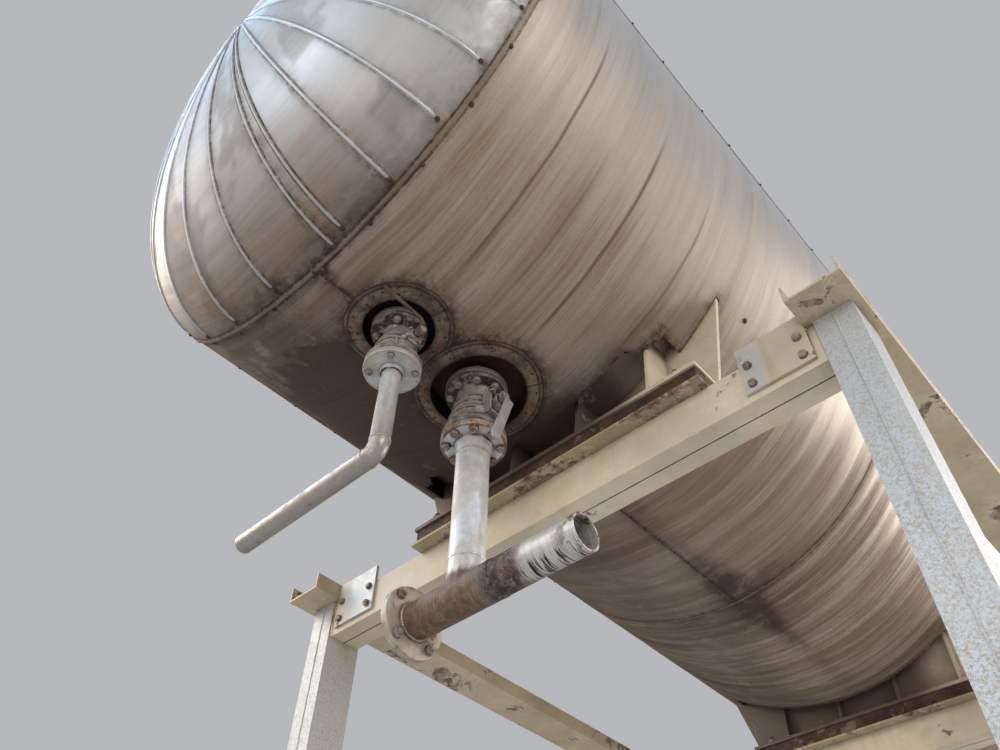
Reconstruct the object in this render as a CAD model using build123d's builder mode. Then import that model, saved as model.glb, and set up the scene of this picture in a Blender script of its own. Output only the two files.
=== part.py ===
from build123d import *
import os
from math import cos, sin, radians, sqrt

# Lagged horizontal buffer tank on a steel stand, seen mainly from below.
# Millimetres. X across the tank, Y along it (near end at -Y), Z up.
# The origin is on the ground, below the middle of the tank.

# ---------------------------------------------------------------- sizes
axis_z = 4820.0            # height of the tank's centre line
clad_r = 1080.0            # outside of the cladding
lag_r = 1015.0             # inside of the insulation
vessel_r = 1000.0          # outside of the steel vessel
vessel_t = 10.0
half_len = 2431.0          # middle seam to end seam
clad_depth = 575.0         # depth of the clad end
lag_depth = 505.0
end_crown = 1900.0         # dished end, a little flatter than a 2:1 ellipse
end_knuckle = 300.0

sheet_count = 8            # cladding sheets round each band
sheet_start = 3.0          # first lap, degrees from the bottom towards +X
sheet_gap = 0.06           # degrees

petal_edges = [-34.2, -20.3, -6.5, 7.9, 22.2, 34.3, 46.3]
petal_rest = 21            # petals over the rest of the circle

saddle_y = 1277.0          # saddles at -Y and +Y of the middle
web_low, web_high = 1220.0, 1236.0     # the web plate's faces, off the middle of its base
web_left, web_right = -689.0, 811.0    # where its edges pass the cladding
base_left, base_right = -583.0, 731.0  # ends of the web plate on its base
rib_places = (-385.0, -73.0, 239.0, 551.0)

drain_x, drain_y = 48.0, -2082.0
outlet_x, outlet_y = 45.0, -1706.0
drain_pipe_r, drain_wall = 31.0, 4.5
pipe_r, pipe_wall = 55.5, 6.0

# holes and collars in the cladding, not quite central on the nozzles
drain_cut = (60.0, -2093.0)
outlet_cut = (56.0, -1706.0)
drain_hole_r, drain_collar_r = 120.0, 184.0
outlet_hole_r, outlet_collar_r = 172.0, 231.0

beam_top = 3570.0
beam_h, beam_flange = 160.0, 65.0
beam_gap = 6.0
column_x = 1181.0
column_flange = 61.0
base_size, base_t = 320.0, 20.0
base_pitch, base_hole_r = 240.0, 13.0

header_z = 2915.0
drain_run_z = 3200.0

os.makedirs("parts", exist_ok=True)

tank_axis = Axis((0, 0, axis_z), (0, 1, 0))
turn_axis = Axis((0, 0, axis_z), (0, -1, 0))


def radial_plane(deg):
    """Sketch X runs outwards at deg from the bottom towards +X, sketch Y runs along the tank."""
    a = radians(deg)
    return Plane(origin=(0, 0, axis_z), x_dir=(sin(a), 0, -cos(a)), z_dir=(cos(a), 0, sin(a)))


def save(piece, name):
    piece.label = name
    export_step(piece, "parts/" + name + ".step")


# ---------------------------------------------------------------- steel vessel
with BuildPart() as vessel_shell:
    with BuildSketch(Plane.XZ.offset(half_len)) as vessel_ring:
        with Locations((0, axis_z)):
            Circle(vessel_r)
            Circle(vessel_r - vessel_t, mode=Mode.SUBTRACT)
    extrude(amount=-2 * half_len)
    with BuildSketch(Plane.XY.offset(axis_z - 1100)) as nozzle_cuts:
        with Locations((drain_x, drain_y)):
            Circle(drain_pipe_r + 0.2)
        with Locations((outlet_x, outlet_y)):
            Circle(pipe_r + 0.2)
    extrude(amount=600, mode=Mode.SUBTRACT)
save(vessel_shell.part, "vessel_shell")


def dished_end(r, crown, knuckle, t, side):
    """Dished end as a shell, crown and knuckle arcs; side -1 is the near end, +1 the far end."""
    y0 = side * half_len
    centre = -sqrt((crown - knuckle) ** 2 - (r - knuckle) ** 2)      # crown's centre, from y0 outwards
    lean = (r - knuckle) / (crown - knuckle)                         # sine of the angle where the arcs meet
    mid_crown = 0.5 * lean

    def crown_point(radius, sine):
        return (radius * sine, y0 + side * (centre + radius * sqrt(1 - sine * sine)))

    def knuckle_point(radius, sine):
        return (r - knuckle + radius * sine, y0 + side * radius * sqrt(1 - sine * sine))

    with BuildPart() as end:
        with BuildSketch(radial_plane(0)):
            with BuildLine():
                Line((0, y0 + side * (centre + crown - t)), (0, y0 + side * (centre + crown)))
                ThreePointArc(crown_point(crown, 0), crown_point(crown, mid_crown), crown_point(crown, lean))
                ThreePointArc(crown_point(crown, lean), knuckle_point(knuckle, 0.8), (r, y0))
                Line((r, y0), (r - t, y0))
                ThreePointArc((r - t, y0), knuckle_point(knuckle - t, 0.8), crown_point(crown - t, lean))
                ThreePointArc(crown_point(crown - t, lean), crown_point(crown - t, mid_crown), crown_point(crown - t, 0))
            make_face()
        revolve(axis=tank_axis)
    return end.part


save(dished_end(vessel_r, end_crown, end_knuckle, vessel_t, -1), "vessel_head_near")
save(dished_end(vessel_r, end_crown, end_knuckle, vessel_t, 1), "vessel_head_far")


# ---------------------------------------------------------------- lagging and cladding, in sheets
def jacket(y_low, y_high, saddle):
    with BuildPart() as band:
        for k in range(sheet_count):
            with BuildSketch(radial_plane(sheet_start + k * 360 / sheet_count + sheet_gap)):
                with Locations(((clad_r + lag_r) / 2, (y_low + y_high) / 2)):
                    Rectangle(clad_r - lag_r, y_high - y_low)
            revolve(axis=turn_axis, revolution_arc=360 / sheet_count - 2 * sheet_gap)
        # cut-out for the saddle, upright: hand-cut round the ribs, with a slit each side for the web
        end = 1 if saddle > 0 else -1
        outline = [(web_right, 1240), (619, 1240), (619, 1345), (533, 1377), (500, 1432),
                   (-500, 1432), (-533, 1377), (-619, 1345), (-619, 1240), (web_left, 1240),
                   (web_left, 1216), (-619, 1216), (-619, 1137), (619, 1137), (619, 1216), (web_right, 1216)]
        with BuildSketch(Plane.XY.offset(axis_z - 1150)):
            with BuildLine():
                Polyline(*[(x, end * y) for x, y in outline], close=True)
            make_face()
        extrude(amount=560, mode=Mode.SUBTRACT)
        if y_low < 0 and y_high <= 0:
            with BuildSketch(Plane.XY.offset(axis_z - 1150)):
                with Locations(drain_cut):
                    Circle(drain_hole_r)
                with Locations(outlet_cut):
                    Circle(outlet_hole_r)
            extrude(amount=400, mode=Mode.SUBTRACT)
    return band.part


save(jacket(-half_len, -0.3, -saddle_y), "jacket_near")
save(jacket(0.3, half_len, saddle_y), "jacket_far")

# petal angles: the measured ones at the bottom, even ones over the rest
last = petal_edges[-1]
rest = 360 - (last - petal_edges[0])
petals = petal_edges + [last + rest * (i + 1) / petal_rest for i in range(petal_rest - 1)]


def clad_end(side):
    y0 = side * (half_len + 0.3)
    hub = 60.0
    with BuildPart() as end:
        for i, a in enumerate(petals):
            b = petals[i + 1] if i + 1 < len(petals) else petals[0] + 360
            with BuildSketch(radial_plane(a + sheet_gap)):
                with BuildLine():
                    EllipticalCenterArc((0, y0), clad_r, clad_depth,
                                        start_angle=0, arc_size=90 * side)
                    Line((0, y0 + side * clad_depth), (0, y0 + side * lag_depth))
                    EllipticalCenterArc((0, y0), lag_r, lag_depth,
                                        start_angle=0, arc_size=90 * side)
                    Line((lag_r, y0), (clad_r, y0))
                make_face()
                with Locations((hub / 2 - 1, y0 + side * 550)):
                    Rectangle(hub + 2, 200, mode=Mode.SUBTRACT)
            revolve(axis=turn_axis, revolution_arc=b - a - 2 * sheet_gap)
    return end.part


save(clad_end(-1), "head_jacket_near")
save(clad_end(1), "head_jacket_far")


def hub_cap(side):
    """Flat round cap over the petals' tips, with a plug into the hub hole."""
    y0 = side * (half_len + 0.3)
    with BuildPart() as cap:
        with BuildSketch(Plane.XZ.offset(-(y0 + side * (clad_depth + 0.3)))):
            with Locations((0, axis_z)):
                Circle(92)
        extrude(amount=-side * 4)
        with BuildSketch(Plane.XZ.offset(-(y0 + side * (clad_depth - 60)))):
            with Locations((0, axis_z)):
                Circle(58)
        extrude(amount=-side * 61)
    return cap.part


save(hub_cap(-1), "head_cap_near")
save(hub_cap(1), "head_cap_far")


# ---------------------------------------------------------------- seam bands: flat strips, the end ones with a rolled bead
def seam_band(y0, bead):
    with BuildPart() as band:
        with BuildSketch(radial_plane(0)):
            with Locations((clad_r + 1.7, y0)):
                Rectangle(3, 40)
            if bead:
                with Locations((clad_r + 2.2, y0)):
                    Circle(8)
                with Locations((clad_r - 10 + 0.2, y0)):
                    Rectangle(20, 60, mode=Mode.SUBTRACT)
        revolve(axis=tank_axis)
    return band.part


save(seam_band(-half_len, True), "seam_band_near")
save(seam_band(0, False), "seam_band_middle")
save(seam_band(half_len, True), "seam_band_far")


# ---------------------------------------------------------------- collars round the nozzle holes
def collar(x, y, hole_r, outer_r, trim):
    """Thin ring bent to the cladding, cut from a thin shell by an upright tube."""
    with BuildPart() as ring:
        with BuildSketch(Plane.XZ.offset(-(y - outer_r - 10))):
            with Locations((0, axis_z)):
                Circle(clad_r + 3.4)
                Circle(clad_r + 0.4, mode=Mode.SUBTRACT)
        extrude(amount=-(2 * outer_r + 20))
        with BuildSketch(Plane.XY.offset(axis_z - 1150)):
            with Locations((x, y)):
                Circle(outer_r)
                Circle(hole_r, mode=Mode.SUBTRACT)
            if trim:
                with Locations((trim[0], trim[1])):
                    Circle(trim[2], mode=Mode.SUBTRACT)
        extrude(amount=400, mode=Mode.INTERSECT)
    return ring.part


save(collar(*drain_cut, drain_hole_r, drain_collar_r, (*outlet_cut, outlet_collar_r + 0.5)), "collar_drain")
save(collar(*outlet_cut, outlet_hole_r, outlet_collar_r, None), "collar_outlet")


# ---------------------------------------------------------------- round parts turned about an upright line
def turned(x, y, points, bore, name):
    """Solid turned about the upright line at x, y from (radius, z) points, with an upright bore."""
    with BuildPart() as body:
        with BuildSketch(Plane(origin=(x, y, 0), x_dir=(1, 0, 0), z_dir=(0, -1, 0))):
            with BuildLine():
                Polyline(*points, close=True)
            make_face()
        revolve(axis=Axis((x, y, 0), (0, 0, 1)))
    if name:
        save(body.part, name)
    return body.part


# nozzles: pipe stub from inside the vessel down to its flange
def nozzle(x, y, pipe_r, wall, flange_r, z_face, flange_t, z_top, name):
    bore = pipe_r - wall
    turned(x, y, [(bore, z_face), (flange_r, z_face), (flange_r, z_face + flange_t),
                  (pipe_r + 8, z_face + flange_t), (pipe_r, z_face + flange_t + 10),
                  (pipe_r, z_top), (bore, z_top)], bore, name)


nozzle(drain_x, drain_y, drain_pipe_r, drain_wall, 92.5, 3746.2, 20, 3850, "nozzle_drain")
nozzle(outlet_x, outlet_y, pipe_r, pipe_wall, 110.0, 3750.2, 22, 3850, "nozzle_outlet")


# ---------------------------------------------------------------- flanged ball valves
def valve_body(x, y, z_low, z_high, flange_r, flange_t, outline, bore_r, ball_r, stem_z, stem_r, boss, name):
    """Turned body with a ball chamber; the stem's boss points to +X."""
    with BuildPart() as body:
        with BuildSketch(Plane(origin=(x, y, 0), x_dir=(1, 0, 0), z_dir=(0, -1, 0))):
            with BuildLine():
                Polyline((0, z_low), (flange_r, z_low), (flange_r, z_low + flange_t), *outline,
                         (flange_r, z_high - flange_t), (flange_r, z_high), (0, z_high), close=True)
            make_face()
        revolve(axis=Axis((x, y, 0), (0, 0, 1)))
        for r, x_end in boss:
            with BuildSketch(Plane.YZ.offset(x)):
                with Locations((y, stem_z)):
                    Circle(r)
            extrude(amount=x_end)
        with Locations((x, y, stem_z)):
            Sphere(ball_r + 1.0, mode=Mode.SUBTRACT)
        with BuildSketch(Plane.XY.offset(z_low - 1)):
            with Locations((x, y)):
                Circle(bore_r)
        extrude(amount=z_high - z_low + 2, mode=Mode.SUBTRACT)
        with BuildSketch(Plane.YZ.offset(x)):
            with Locations((y, stem_z)):
                Circle(stem_r + 0.05)
        extrude(amount=250, mode=Mode.SUBTRACT)
    save(body.part, name)


drain_stem_z = 3655.0
outlet_stem_z = 3633.0
valve_body(drain_x, drain_y, 3563.0, 3746.0, 92.5, 18,
           [(66, 3581), (66, 3588), (76, 3592), (76, 3606), (70, 3612), (70, 3634), (74, 3640),
            (74, 3668), (60, 3690), (48, 3712), (48, 3728)],
           26.5, 38, drain_stem_z, 9, [(26, 88), (19, 98)], "valve_drain_body")
valve_body(outlet_x, outlet_y, 3513.0, 3750.0, 110.0, 22,
           [(80, 3535), (80, 3546), (96, 3550), (96, 3566), (90, 3572), (90, 3612), (86, 3618),
            (86, 3664), (76, 3684), (66, 3700), (66, 3728)],
           49.5, 62, outlet_stem_z, 12, [(34, 108), (24, 126)], "valve_outlet_body")


def ball(x, y, ball_r, bore_r, bore_dir, stem_z, stem_r, stem_end, name):
    """Bored ball with its stem in one piece."""
    with BuildPart() as turning:
        with Locations((x, y, stem_z)):
            Sphere(ball_r)
        with BuildSketch(Plane.YZ.offset(x + bore_r * 0.2)):
            with Locations((y, stem_z)):
                Circle(stem_r)
        extrude(amount=stem_end - bore_r * 0.2)
        with Locations(Plane(origin=(x, y, stem_z), z_dir=bore_dir)):
            Cylinder(bore_r, 2 * ball_r + 10, mode=Mode.SUBTRACT)
    save(turning.part, name)


rest_tilt = 17.0           # the outlet lever stands this far from open
ball(drain_x, drain_y, 38, 26.5, (0, 1, 0), drain_stem_z, 9, 122, "valve_drain_ball")
ball(outlet_x, outlet_y, 62, 49.5, (0, -sin(radians(rest_tilt)), -cos(radians(rest_tilt))),
     outlet_stem_z, 12, 146, "valve_outlet_ball")

# drain lever: hub on the stem and a bent round bar, now level and pointing to -Y (shut)
rod_r = 6.5
hub_x = drain_x + 112.0
with BuildPart() as valve_drain_lever:
    with BuildSketch(Plane.YZ.offset(hub_x - 6)):
        with Locations((drain_y, drain_stem_z)):
            Circle(17)
            Circle(9.02, mode=Mode.SUBTRACT)
    extrude(amount=16)
    with BuildLine(Plane.YZ.offset(hub_x + 2)) as rod_line:
        rod_path = FilletPolyline((drain_y, drain_stem_z + 13), (drain_y + 4, 3719),
                                  (drain_y - 165, 3731), radius=16)
    with BuildSketch(Plane(origin=rod_path @ 0, z_dir=rod_path % 0)):
        Circle(rod_r)
    sweep(path=rod_path)
save(valve_drain_lever.part, "valve_drain_lever")

# outlet lever: flat bar, cranked outwards, hanging at 17 degrees from the pipe
bar_t, bar_w = 7.0, 42.0
lever_plane = Plane(origin=(outlet_x + 132, outlet_y, outlet_stem_z),
                    x_dir=(0, -sin(radians(rest_tilt)), -cos(radians(rest_tilt))),
                    z_dir=(0, -cos(radians(rest_tilt)), sin(radians(rest_tilt))))
# on this plane sketch X runs along the lever, sketch Y runs towards -X or +X of the tank
out = 1 if lever_plane.y_dir.X > 0 else -1
with BuildPart() as valve_outlet_lever:
    with BuildSketch(lever_plane):
        with BuildLine():
            Polyline((-24, 0), (22, 0), (58, 42 * out), (286, 42 * out),
                     (286, (42 + bar_t) * out), (54, (42 + bar_t) * out), (18, bar_t * out),
                     (-24, bar_t * out), close=True)
        make_face()
    extrude(amount=bar_w / 2, both=True)
    with BuildSketch(Plane.YZ.offset(outlet_x + 120)):
        with Locations((outlet_y, outlet_stem_z)):
            Circle(12.02)
    extrude(amount=40, mode=Mode.SUBTRACT)
save(valve_outlet_lever.part, "valve_outlet_lever")

# ---------------------------------------------------------------- drain pipe
drain_end_x = -600.0
drain_bend = 40.0
with BuildPart() as drain_pipe:
    with BuildLine(Plane(origin=(0, drain_y, 0), x_dir=(1, 0, 0), z_dir=(0, -1, 0))) as drain_line:
        drain_path = FilletPolyline((drain_x, 3560), (drain_x, drain_run_z), (drain_end_x, drain_run_z), radius=drain_bend)
    with BuildSketch(Plane(origin=(drain_x, drain_y, 3560), z_dir=(0, 0, -1))):
        Circle(drain_pipe_r)
    sweep(path=drain_path)
    with BuildSketch(Plane(origin=(drain_x, drain_y, 0), x_dir=(1, 0, 0), z_dir=(0, -1, 0))):
        with BuildLine():
            Polyline((0, 3529), (drain_pipe_r + 7, 3529), (drain_pipe_r + 7, 3543), (92.5, 3543), (92.5, 3562.8), (0, 3562.8), close=True)
        make_face()
    revolve(axis=Axis((drain_x, drain_y, 0), (0, 0, 1)))
    with BuildLine(Plane(origin=(0, drain_y, 0), x_dir=(1, 0, 0), z_dir=(0, -1, 0))):
        bore_path = FilletPolyline((drain_x, 3570), (drain_x, drain_run_z), (drain_end_x - 10, drain_run_z), radius=drain_bend)
    with BuildSketch(Plane(origin=(drain_x, drain_y, 3570), z_dir=(0, 0, -1))):
        Circle(drain_pipe_r - drain_wall)
    sweep(path=bore_path, mode=Mode.SUBTRACT)
save(drain_pipe.part, "drain_pipe")

# ---------------------------------------------------------------- outlet pipe and header
header_left, header_right = -182.0, 480.0
tee_left, tee_right, tee_r = -98.0, 176.0, pipe_r + 1.0
with BuildPart() as outlet_pipe:
    with BuildSketch(Plane(origin=(outlet_x, outlet_y, 0), x_dir=(1, 0, 0), z_dir=(0, -1, 0))):
        with BuildLine():
            Polyline((0, header_z), (pipe_r, header_z), (pipe_r, 3474), (pipe_r + 8, 3480), (pipe_r + 8, 3491),
                     (110, 3491), (110, 3512.8), (0, 3512.8), close=True)
        make_face()
    revolve(axis=Axis((outlet_x, outlet_y, 0), (0, 0, 1)))
    with BuildSketch(Plane.XY.offset(header_z - 10)):
        with Locations((outlet_x, outlet_y)):
            Circle(pipe_r - pipe_wall)
    extrude(amount=700, mode=Mode.SUBTRACT)
    with BuildSketch(Plane.YZ.offset(outlet_x - 200)):
        with Locations((outlet_y, header_z)):
            Circle(tee_r + 0.3)
    extrude(amount=400, mode=Mode.SUBTRACT)
save(outlet_pipe.part, "outlet_pipe")

with BuildPart() as outlet_header:
    with BuildSketch(Plane.YZ.offset(header_left)):
        with Locations((outlet_y, header_z)):
            Circle(110)
    extrude(amount=22)
    with BuildSketch(Plane.XY.offset(header_z)):
        with BuildLine():
            Polyline((header_left + 22, outlet_y), (header_left + 22, outlet_y + pipe_r + 8),
                     (header_left + 30, outlet_y + pipe_r), (tee_left, outlet_y + pipe_r), (tee_left, outlet_y + tee_r),
                     (tee_right, outlet_y + tee_r), (tee_right, outlet_y + pipe_r), (header_right, outlet_y + pipe_r),
                     (header_right, outlet_y), close=True)
        make_face()
    revolve(axis=Axis((0, outlet_y, header_z), (1, 0, 0)))
    with BuildSketch(Plane.YZ.offset(header_left - 1)):
        with Locations((outlet_y, header_z)):
            Circle(pipe_r - pipe_wall)
    extrude(amount=header_right - header_left + 2, mode=Mode.SUBTRACT)
    with BuildSketch(Plane.XY.offset(header_z)):
        with Locations((outlet_x, outlet_y)):
            Circle(pipe_r - pipe_wall - 2)
    extrude(amount=100, mode=Mode.SUBTRACT)
    with BuildSketch(Plane.YZ.offset(header_left - 1)):
        with Locations((outlet_y, header_z)):
            with PolarLocations(90, 8):
                Circle(9)
    extrude(amount=24, mode=Mode.SUBTRACT)
save(outlet_header.part, "outlet_header")


# ---------------------------------------------------------------- saddles and what they stand on
foot_left, foot_right = base_left - 7.0, base_right + 7.0
foot_mid, foot_len = (foot_left + foot_right) / 2, foot_right - foot_left
seat_t, packer_h, foot_t = 10.0, 64.0, 16.0
foot_z = beam_top + seat_t + packer_h          # underside of the saddle's base plate
foot_top = foot_z + foot_t
for side, tag in ((-1, "near"), (1, "far")):
    ys = side * saddle_y
    with BuildPart() as seat:
        with Locations((foot_mid, ys, beam_top + seat_t / 2)):
            Box(foot_len + 10, 256, seat_t)
    save(seat.part, "saddle_seat_" + tag)

    with BuildPart() as packers:
        with Locations(*[(foot_mid, ys + s * 82, beam_top + seat_t + packer_h / 2) for s in (-1, 1)]):
            Box(foot_len - 12, 56, packer_h)
    save(packers.part, "saddle_packers_" + tag)

    with BuildPart() as foot:
        with Locations((foot_mid, ys, foot_z + foot_t / 2)):
            Box(foot_len, 240, foot_t)
    save(foot.part, "saddle_base_" + tag)

    # web plate, ribs and the wrapper plate under the vessel, welded as one piece
    with BuildPart() as plates:
        with BuildSketch(Plane.XZ.offset(-side * web_low)):
            with BuildLine():
                Polyline((base_left, foot_top), (base_right, foot_top),
                         (web_right - 1, axis_z - sqrt(clad_r ** 2 - web_right ** 2)), (760, 4156), (0, 4156),
                         (-640, 4049), (web_left + 1, axis_z - sqrt(clad_r ** 2 - web_left ** 2)), close=True)
            make_face()
            with Locations((0, axis_z)):
                Circle(vessel_r + 9.9, mode=Mode.SUBTRACT)
        extrude(amount=-side * (web_high - web_low))
        for xr in rib_places:
            with BuildSketch(Plane.YZ.offset(xr - 6)):
                with BuildLine():
                    Polyline((ys - 118, foot_top), (ys + 118, foot_top), (ys + 74, 4010), (ys - 74, 4010), close=True)
                make_face()
            extrude(amount=12)
        with BuildSketch(Plane.XZ.offset(-(ys - 150))):
            with Locations((0, axis_z)):
                Circle(vessel_r + 9.9)
        extrude(amount=-300, mode=Mode.SUBTRACT)
        with BuildSketch(radial_plane(-62)):
            with Locations((vessel_r + 5.1, ys)):
                Rectangle(9.7, 240)
        revolve(axis=turn_axis, revolution_arc=124)
    save(plates.part, "saddle_plates_" + tag)

    # cross beam: two channels toe to toe with a slit between them
    with BuildPart() as beam:
        with BuildSketch(Plane.YZ.offset(-(column_x - column_flange - 2.2))):
            for s in (-1, 1):
                with Locations((ys + s * (beam_gap / 2 + beam_flange / 2), beam_top - beam_h / 2)):
                    Rectangle(beam_flange, beam_h)
                with Locations((ys + s * (beam_gap / 2 + beam_flange / 2 - 4.25), beam_top - beam_h / 2)):
                    Rectangle(beam_flange - 8.5, beam_h - 20, mode=Mode.SUBTRACT)
        extrude(amount=2 * (column_x - column_flange - 2.2))
    save(beam.part, "cross_beam_" + tag)

    # columns: two channels toe to toe, seam facing the end of the tank
    for sx, hand in ((-1, "left"), (1, "right")):
        with BuildPart() as column:
            with BuildSketch(Plane.XY.offset(base_t)):
                for s in (-1, 1):
                    with Locations((sx * column_x + s * (2 + column_flange / 2), ys)):
                        Rectangle(column_flange, beam_h)
                    with Locations((sx * column_x + s * (2 + column_flange / 2 - 4), ys)):
                        Rectangle(column_flange - 8, beam_h - 20, mode=Mode.SUBTRACT)
            extrude(amount=beam_top - base_t)
        save(column.part, "column_" + tag + "_" + hand)

# base plates with stiffeners, one under each column
with BuildPart() as column_bases:
    with Locations(*[(sx * column_x, sy * saddle_y, base_t / 2) for sx in (-1, 1) for sy in (-1, 1)]):
        Box(base_size, base_size, base_t)
    for sx in (-1, 1):
        for sy in (-1, 1):
            cx, cy = sx * column_x, sy * saddle_y
            for s in (-1, 1):
                with BuildSketch(Plane.YZ.offset(cx - 40)):
                    with BuildLine():
                        Polyline((cy + s * (beam_h / 2 + 0.2), base_t), (cy + s * 150, base_t), (cy + s * 150, base_t + 25),
                                 (cy + s * (beam_h / 2 + 22), base_t + 150), (cy + s * (beam_h / 2 + 0.2), base_t + 150), close=True)
                    make_face()
                extrude(amount=10)
                with BuildSketch(Plane.YZ.offset(cx + 30)):
                    with BuildLine():
                        Polyline((cy + s * (beam_h / 2 + 0.2), base_t), (cy + s * 150, base_t), (cy + s * 150, base_t + 25),
                                 (cy + s * (beam_h / 2 + 22), base_t + 150), (cy + s * (beam_h / 2 + 0.2), base_t + 150), close=True)
                    make_face()
                extrude(amount=10)
    with BuildSketch(Plane.XY.offset(-1)):
        for sx in (-1, 1):
            for sy in (-1, 1):
                with Locations((sx * column_x, sy * saddle_y)):
                    with GridLocations(base_pitch, base_pitch, 2, 2):
                        Circle(base_hole_r)
    extrude(amount=base_t + 2, mode=Mode.SUBTRACT)
save(column_bases.part, "column_bases")

# side ties: channels laid flat along the column heads
for sx, hand in ((-1, "left"), (1, "right")):
    with BuildPart() as tie:
        with BuildSketch(Plane.XZ.offset(1480)):
            with Locations((sx * column_x, beam_top + 35)):
                Rectangle(180, 70)
            with Locations((sx * column_x, beam_top + 35 + 8)):
                Rectangle(164, 70, mode=Mode.SUBTRACT)
        extrude(amount=-2960)
    save(tie.part, "side_tie_" + hand)

# plates on the beams' ends, reaching up to the ties' inner flanges
with BuildPart() as beam_end_plates:
    for sy in (-1, 1):
        for sx in (-1, 1):
            with Locations((sx * 974, sy * (saddle_y + beam_gap / 2 + beam_flange + 6), 3535)):
                Box(230, 12, 200)
save(beam_end_plates.part, "beam_end_plates")
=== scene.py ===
"""Looks of the lagged buffer tank: cladding sheets, beads, collars, valves, pipes and stand. Metres, Z up."""

import math

import bmesh
import bpy
import numpy as np
from mathutils import Matrix, Vector


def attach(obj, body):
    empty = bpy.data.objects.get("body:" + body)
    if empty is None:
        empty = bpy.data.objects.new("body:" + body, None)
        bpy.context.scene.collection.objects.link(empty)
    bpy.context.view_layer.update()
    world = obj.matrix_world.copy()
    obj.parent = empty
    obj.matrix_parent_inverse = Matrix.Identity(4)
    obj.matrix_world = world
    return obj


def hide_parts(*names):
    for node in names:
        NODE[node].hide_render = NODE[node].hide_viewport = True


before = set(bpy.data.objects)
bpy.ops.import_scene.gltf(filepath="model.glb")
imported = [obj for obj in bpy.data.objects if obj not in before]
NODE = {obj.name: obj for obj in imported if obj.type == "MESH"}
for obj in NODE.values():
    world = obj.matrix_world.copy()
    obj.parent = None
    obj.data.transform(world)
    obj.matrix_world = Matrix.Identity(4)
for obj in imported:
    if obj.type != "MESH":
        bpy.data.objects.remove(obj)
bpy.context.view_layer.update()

AX = 4.82            # height of the tank's centre line
R = 1.080            # cladding radius
HL = 2.431           # middle seam to end seam
DEPTH = 0.575        # depth of the clad end
DRAIN = (0.048, -2.082)
OUTLET = (0.045, -1.706)
DRAIN_CUT = (0.060, -2.093)      # holes in the cladding, a little off the nozzles
OUTLET_CUT = (0.056, -1.706)
SADDLE_Y = 1.277
HEADER_Z = 2.915
DRAIN_RUN_Z = 3.200
PIPE_R = 0.0555
DRAIN_R = 0.031
PETALS = [-34.2, -20.3, -6.5, 7.9, 22.2, 34.3, 46.3]
PETALS = PETALS + [46.3 + (360 - 80.5) * (i + 1) / 21 for i in range(20)]


# ------------------------------------------------------------------ small maths
def lattice(ix, iy, seed):
    h = (ix * 374761393 + iy * 668265263 + seed * 974634777) & 0xFFFFFFFF
    h = ((h ^ (h >> 13)) * 1274126177) & 0xFFFFFFFF
    return ((h ^ (h >> 16)) & 0xFFFF) / 65535.0


def value_noise(x, y, seed=0):
    """Smooth 2D noise, 0 to 1."""
    x, y = np.broadcast_arrays(np.asarray(x, float), np.asarray(y, float))
    ix, iy = np.floor(x).astype(np.int64), np.floor(y).astype(np.int64)
    fx, fy = x - ix, y - iy
    ux, uy = fx * fx * (3 - 2 * fx), fy * fy * (3 - 2 * fy)
    a, b = lattice(ix, iy, seed), lattice(ix + 1, iy, seed)
    c, d = lattice(ix, iy + 1, seed), lattice(ix + 1, iy + 1, seed)
    return (a * (1 - ux) + b * ux) * (1 - uy) + (c * (1 - ux) + d * ux) * uy


def fbm(x, y, seed=0, octaves=4):
    total, amp, norm = 0.0, 1.0, 0.0
    for o in range(octaves):
        total = total + amp * value_noise(np.asarray(x) * 2 ** o, np.asarray(y) * 2 ** o, seed + 17 * o)
        norm += amp
        amp *= 0.5
    return total / norm


def smooth(e0, e1, x):
    t = np.clip((np.asarray(x, float) - e0) / (e1 - e0), 0, 1)
    return t * t * (3 - 2 * t)


def on_tank(theta, y, r):
    """Point at theta degrees from the bottom towards +X."""
    a = np.radians(theta)
    y = y + 0 * a
    return np.stack([r * np.sin(a), y, AX - r * np.cos(a)], -1)


def signed(theta):
    return (np.asarray(theta, float) + 180) % 360 - 180


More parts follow.
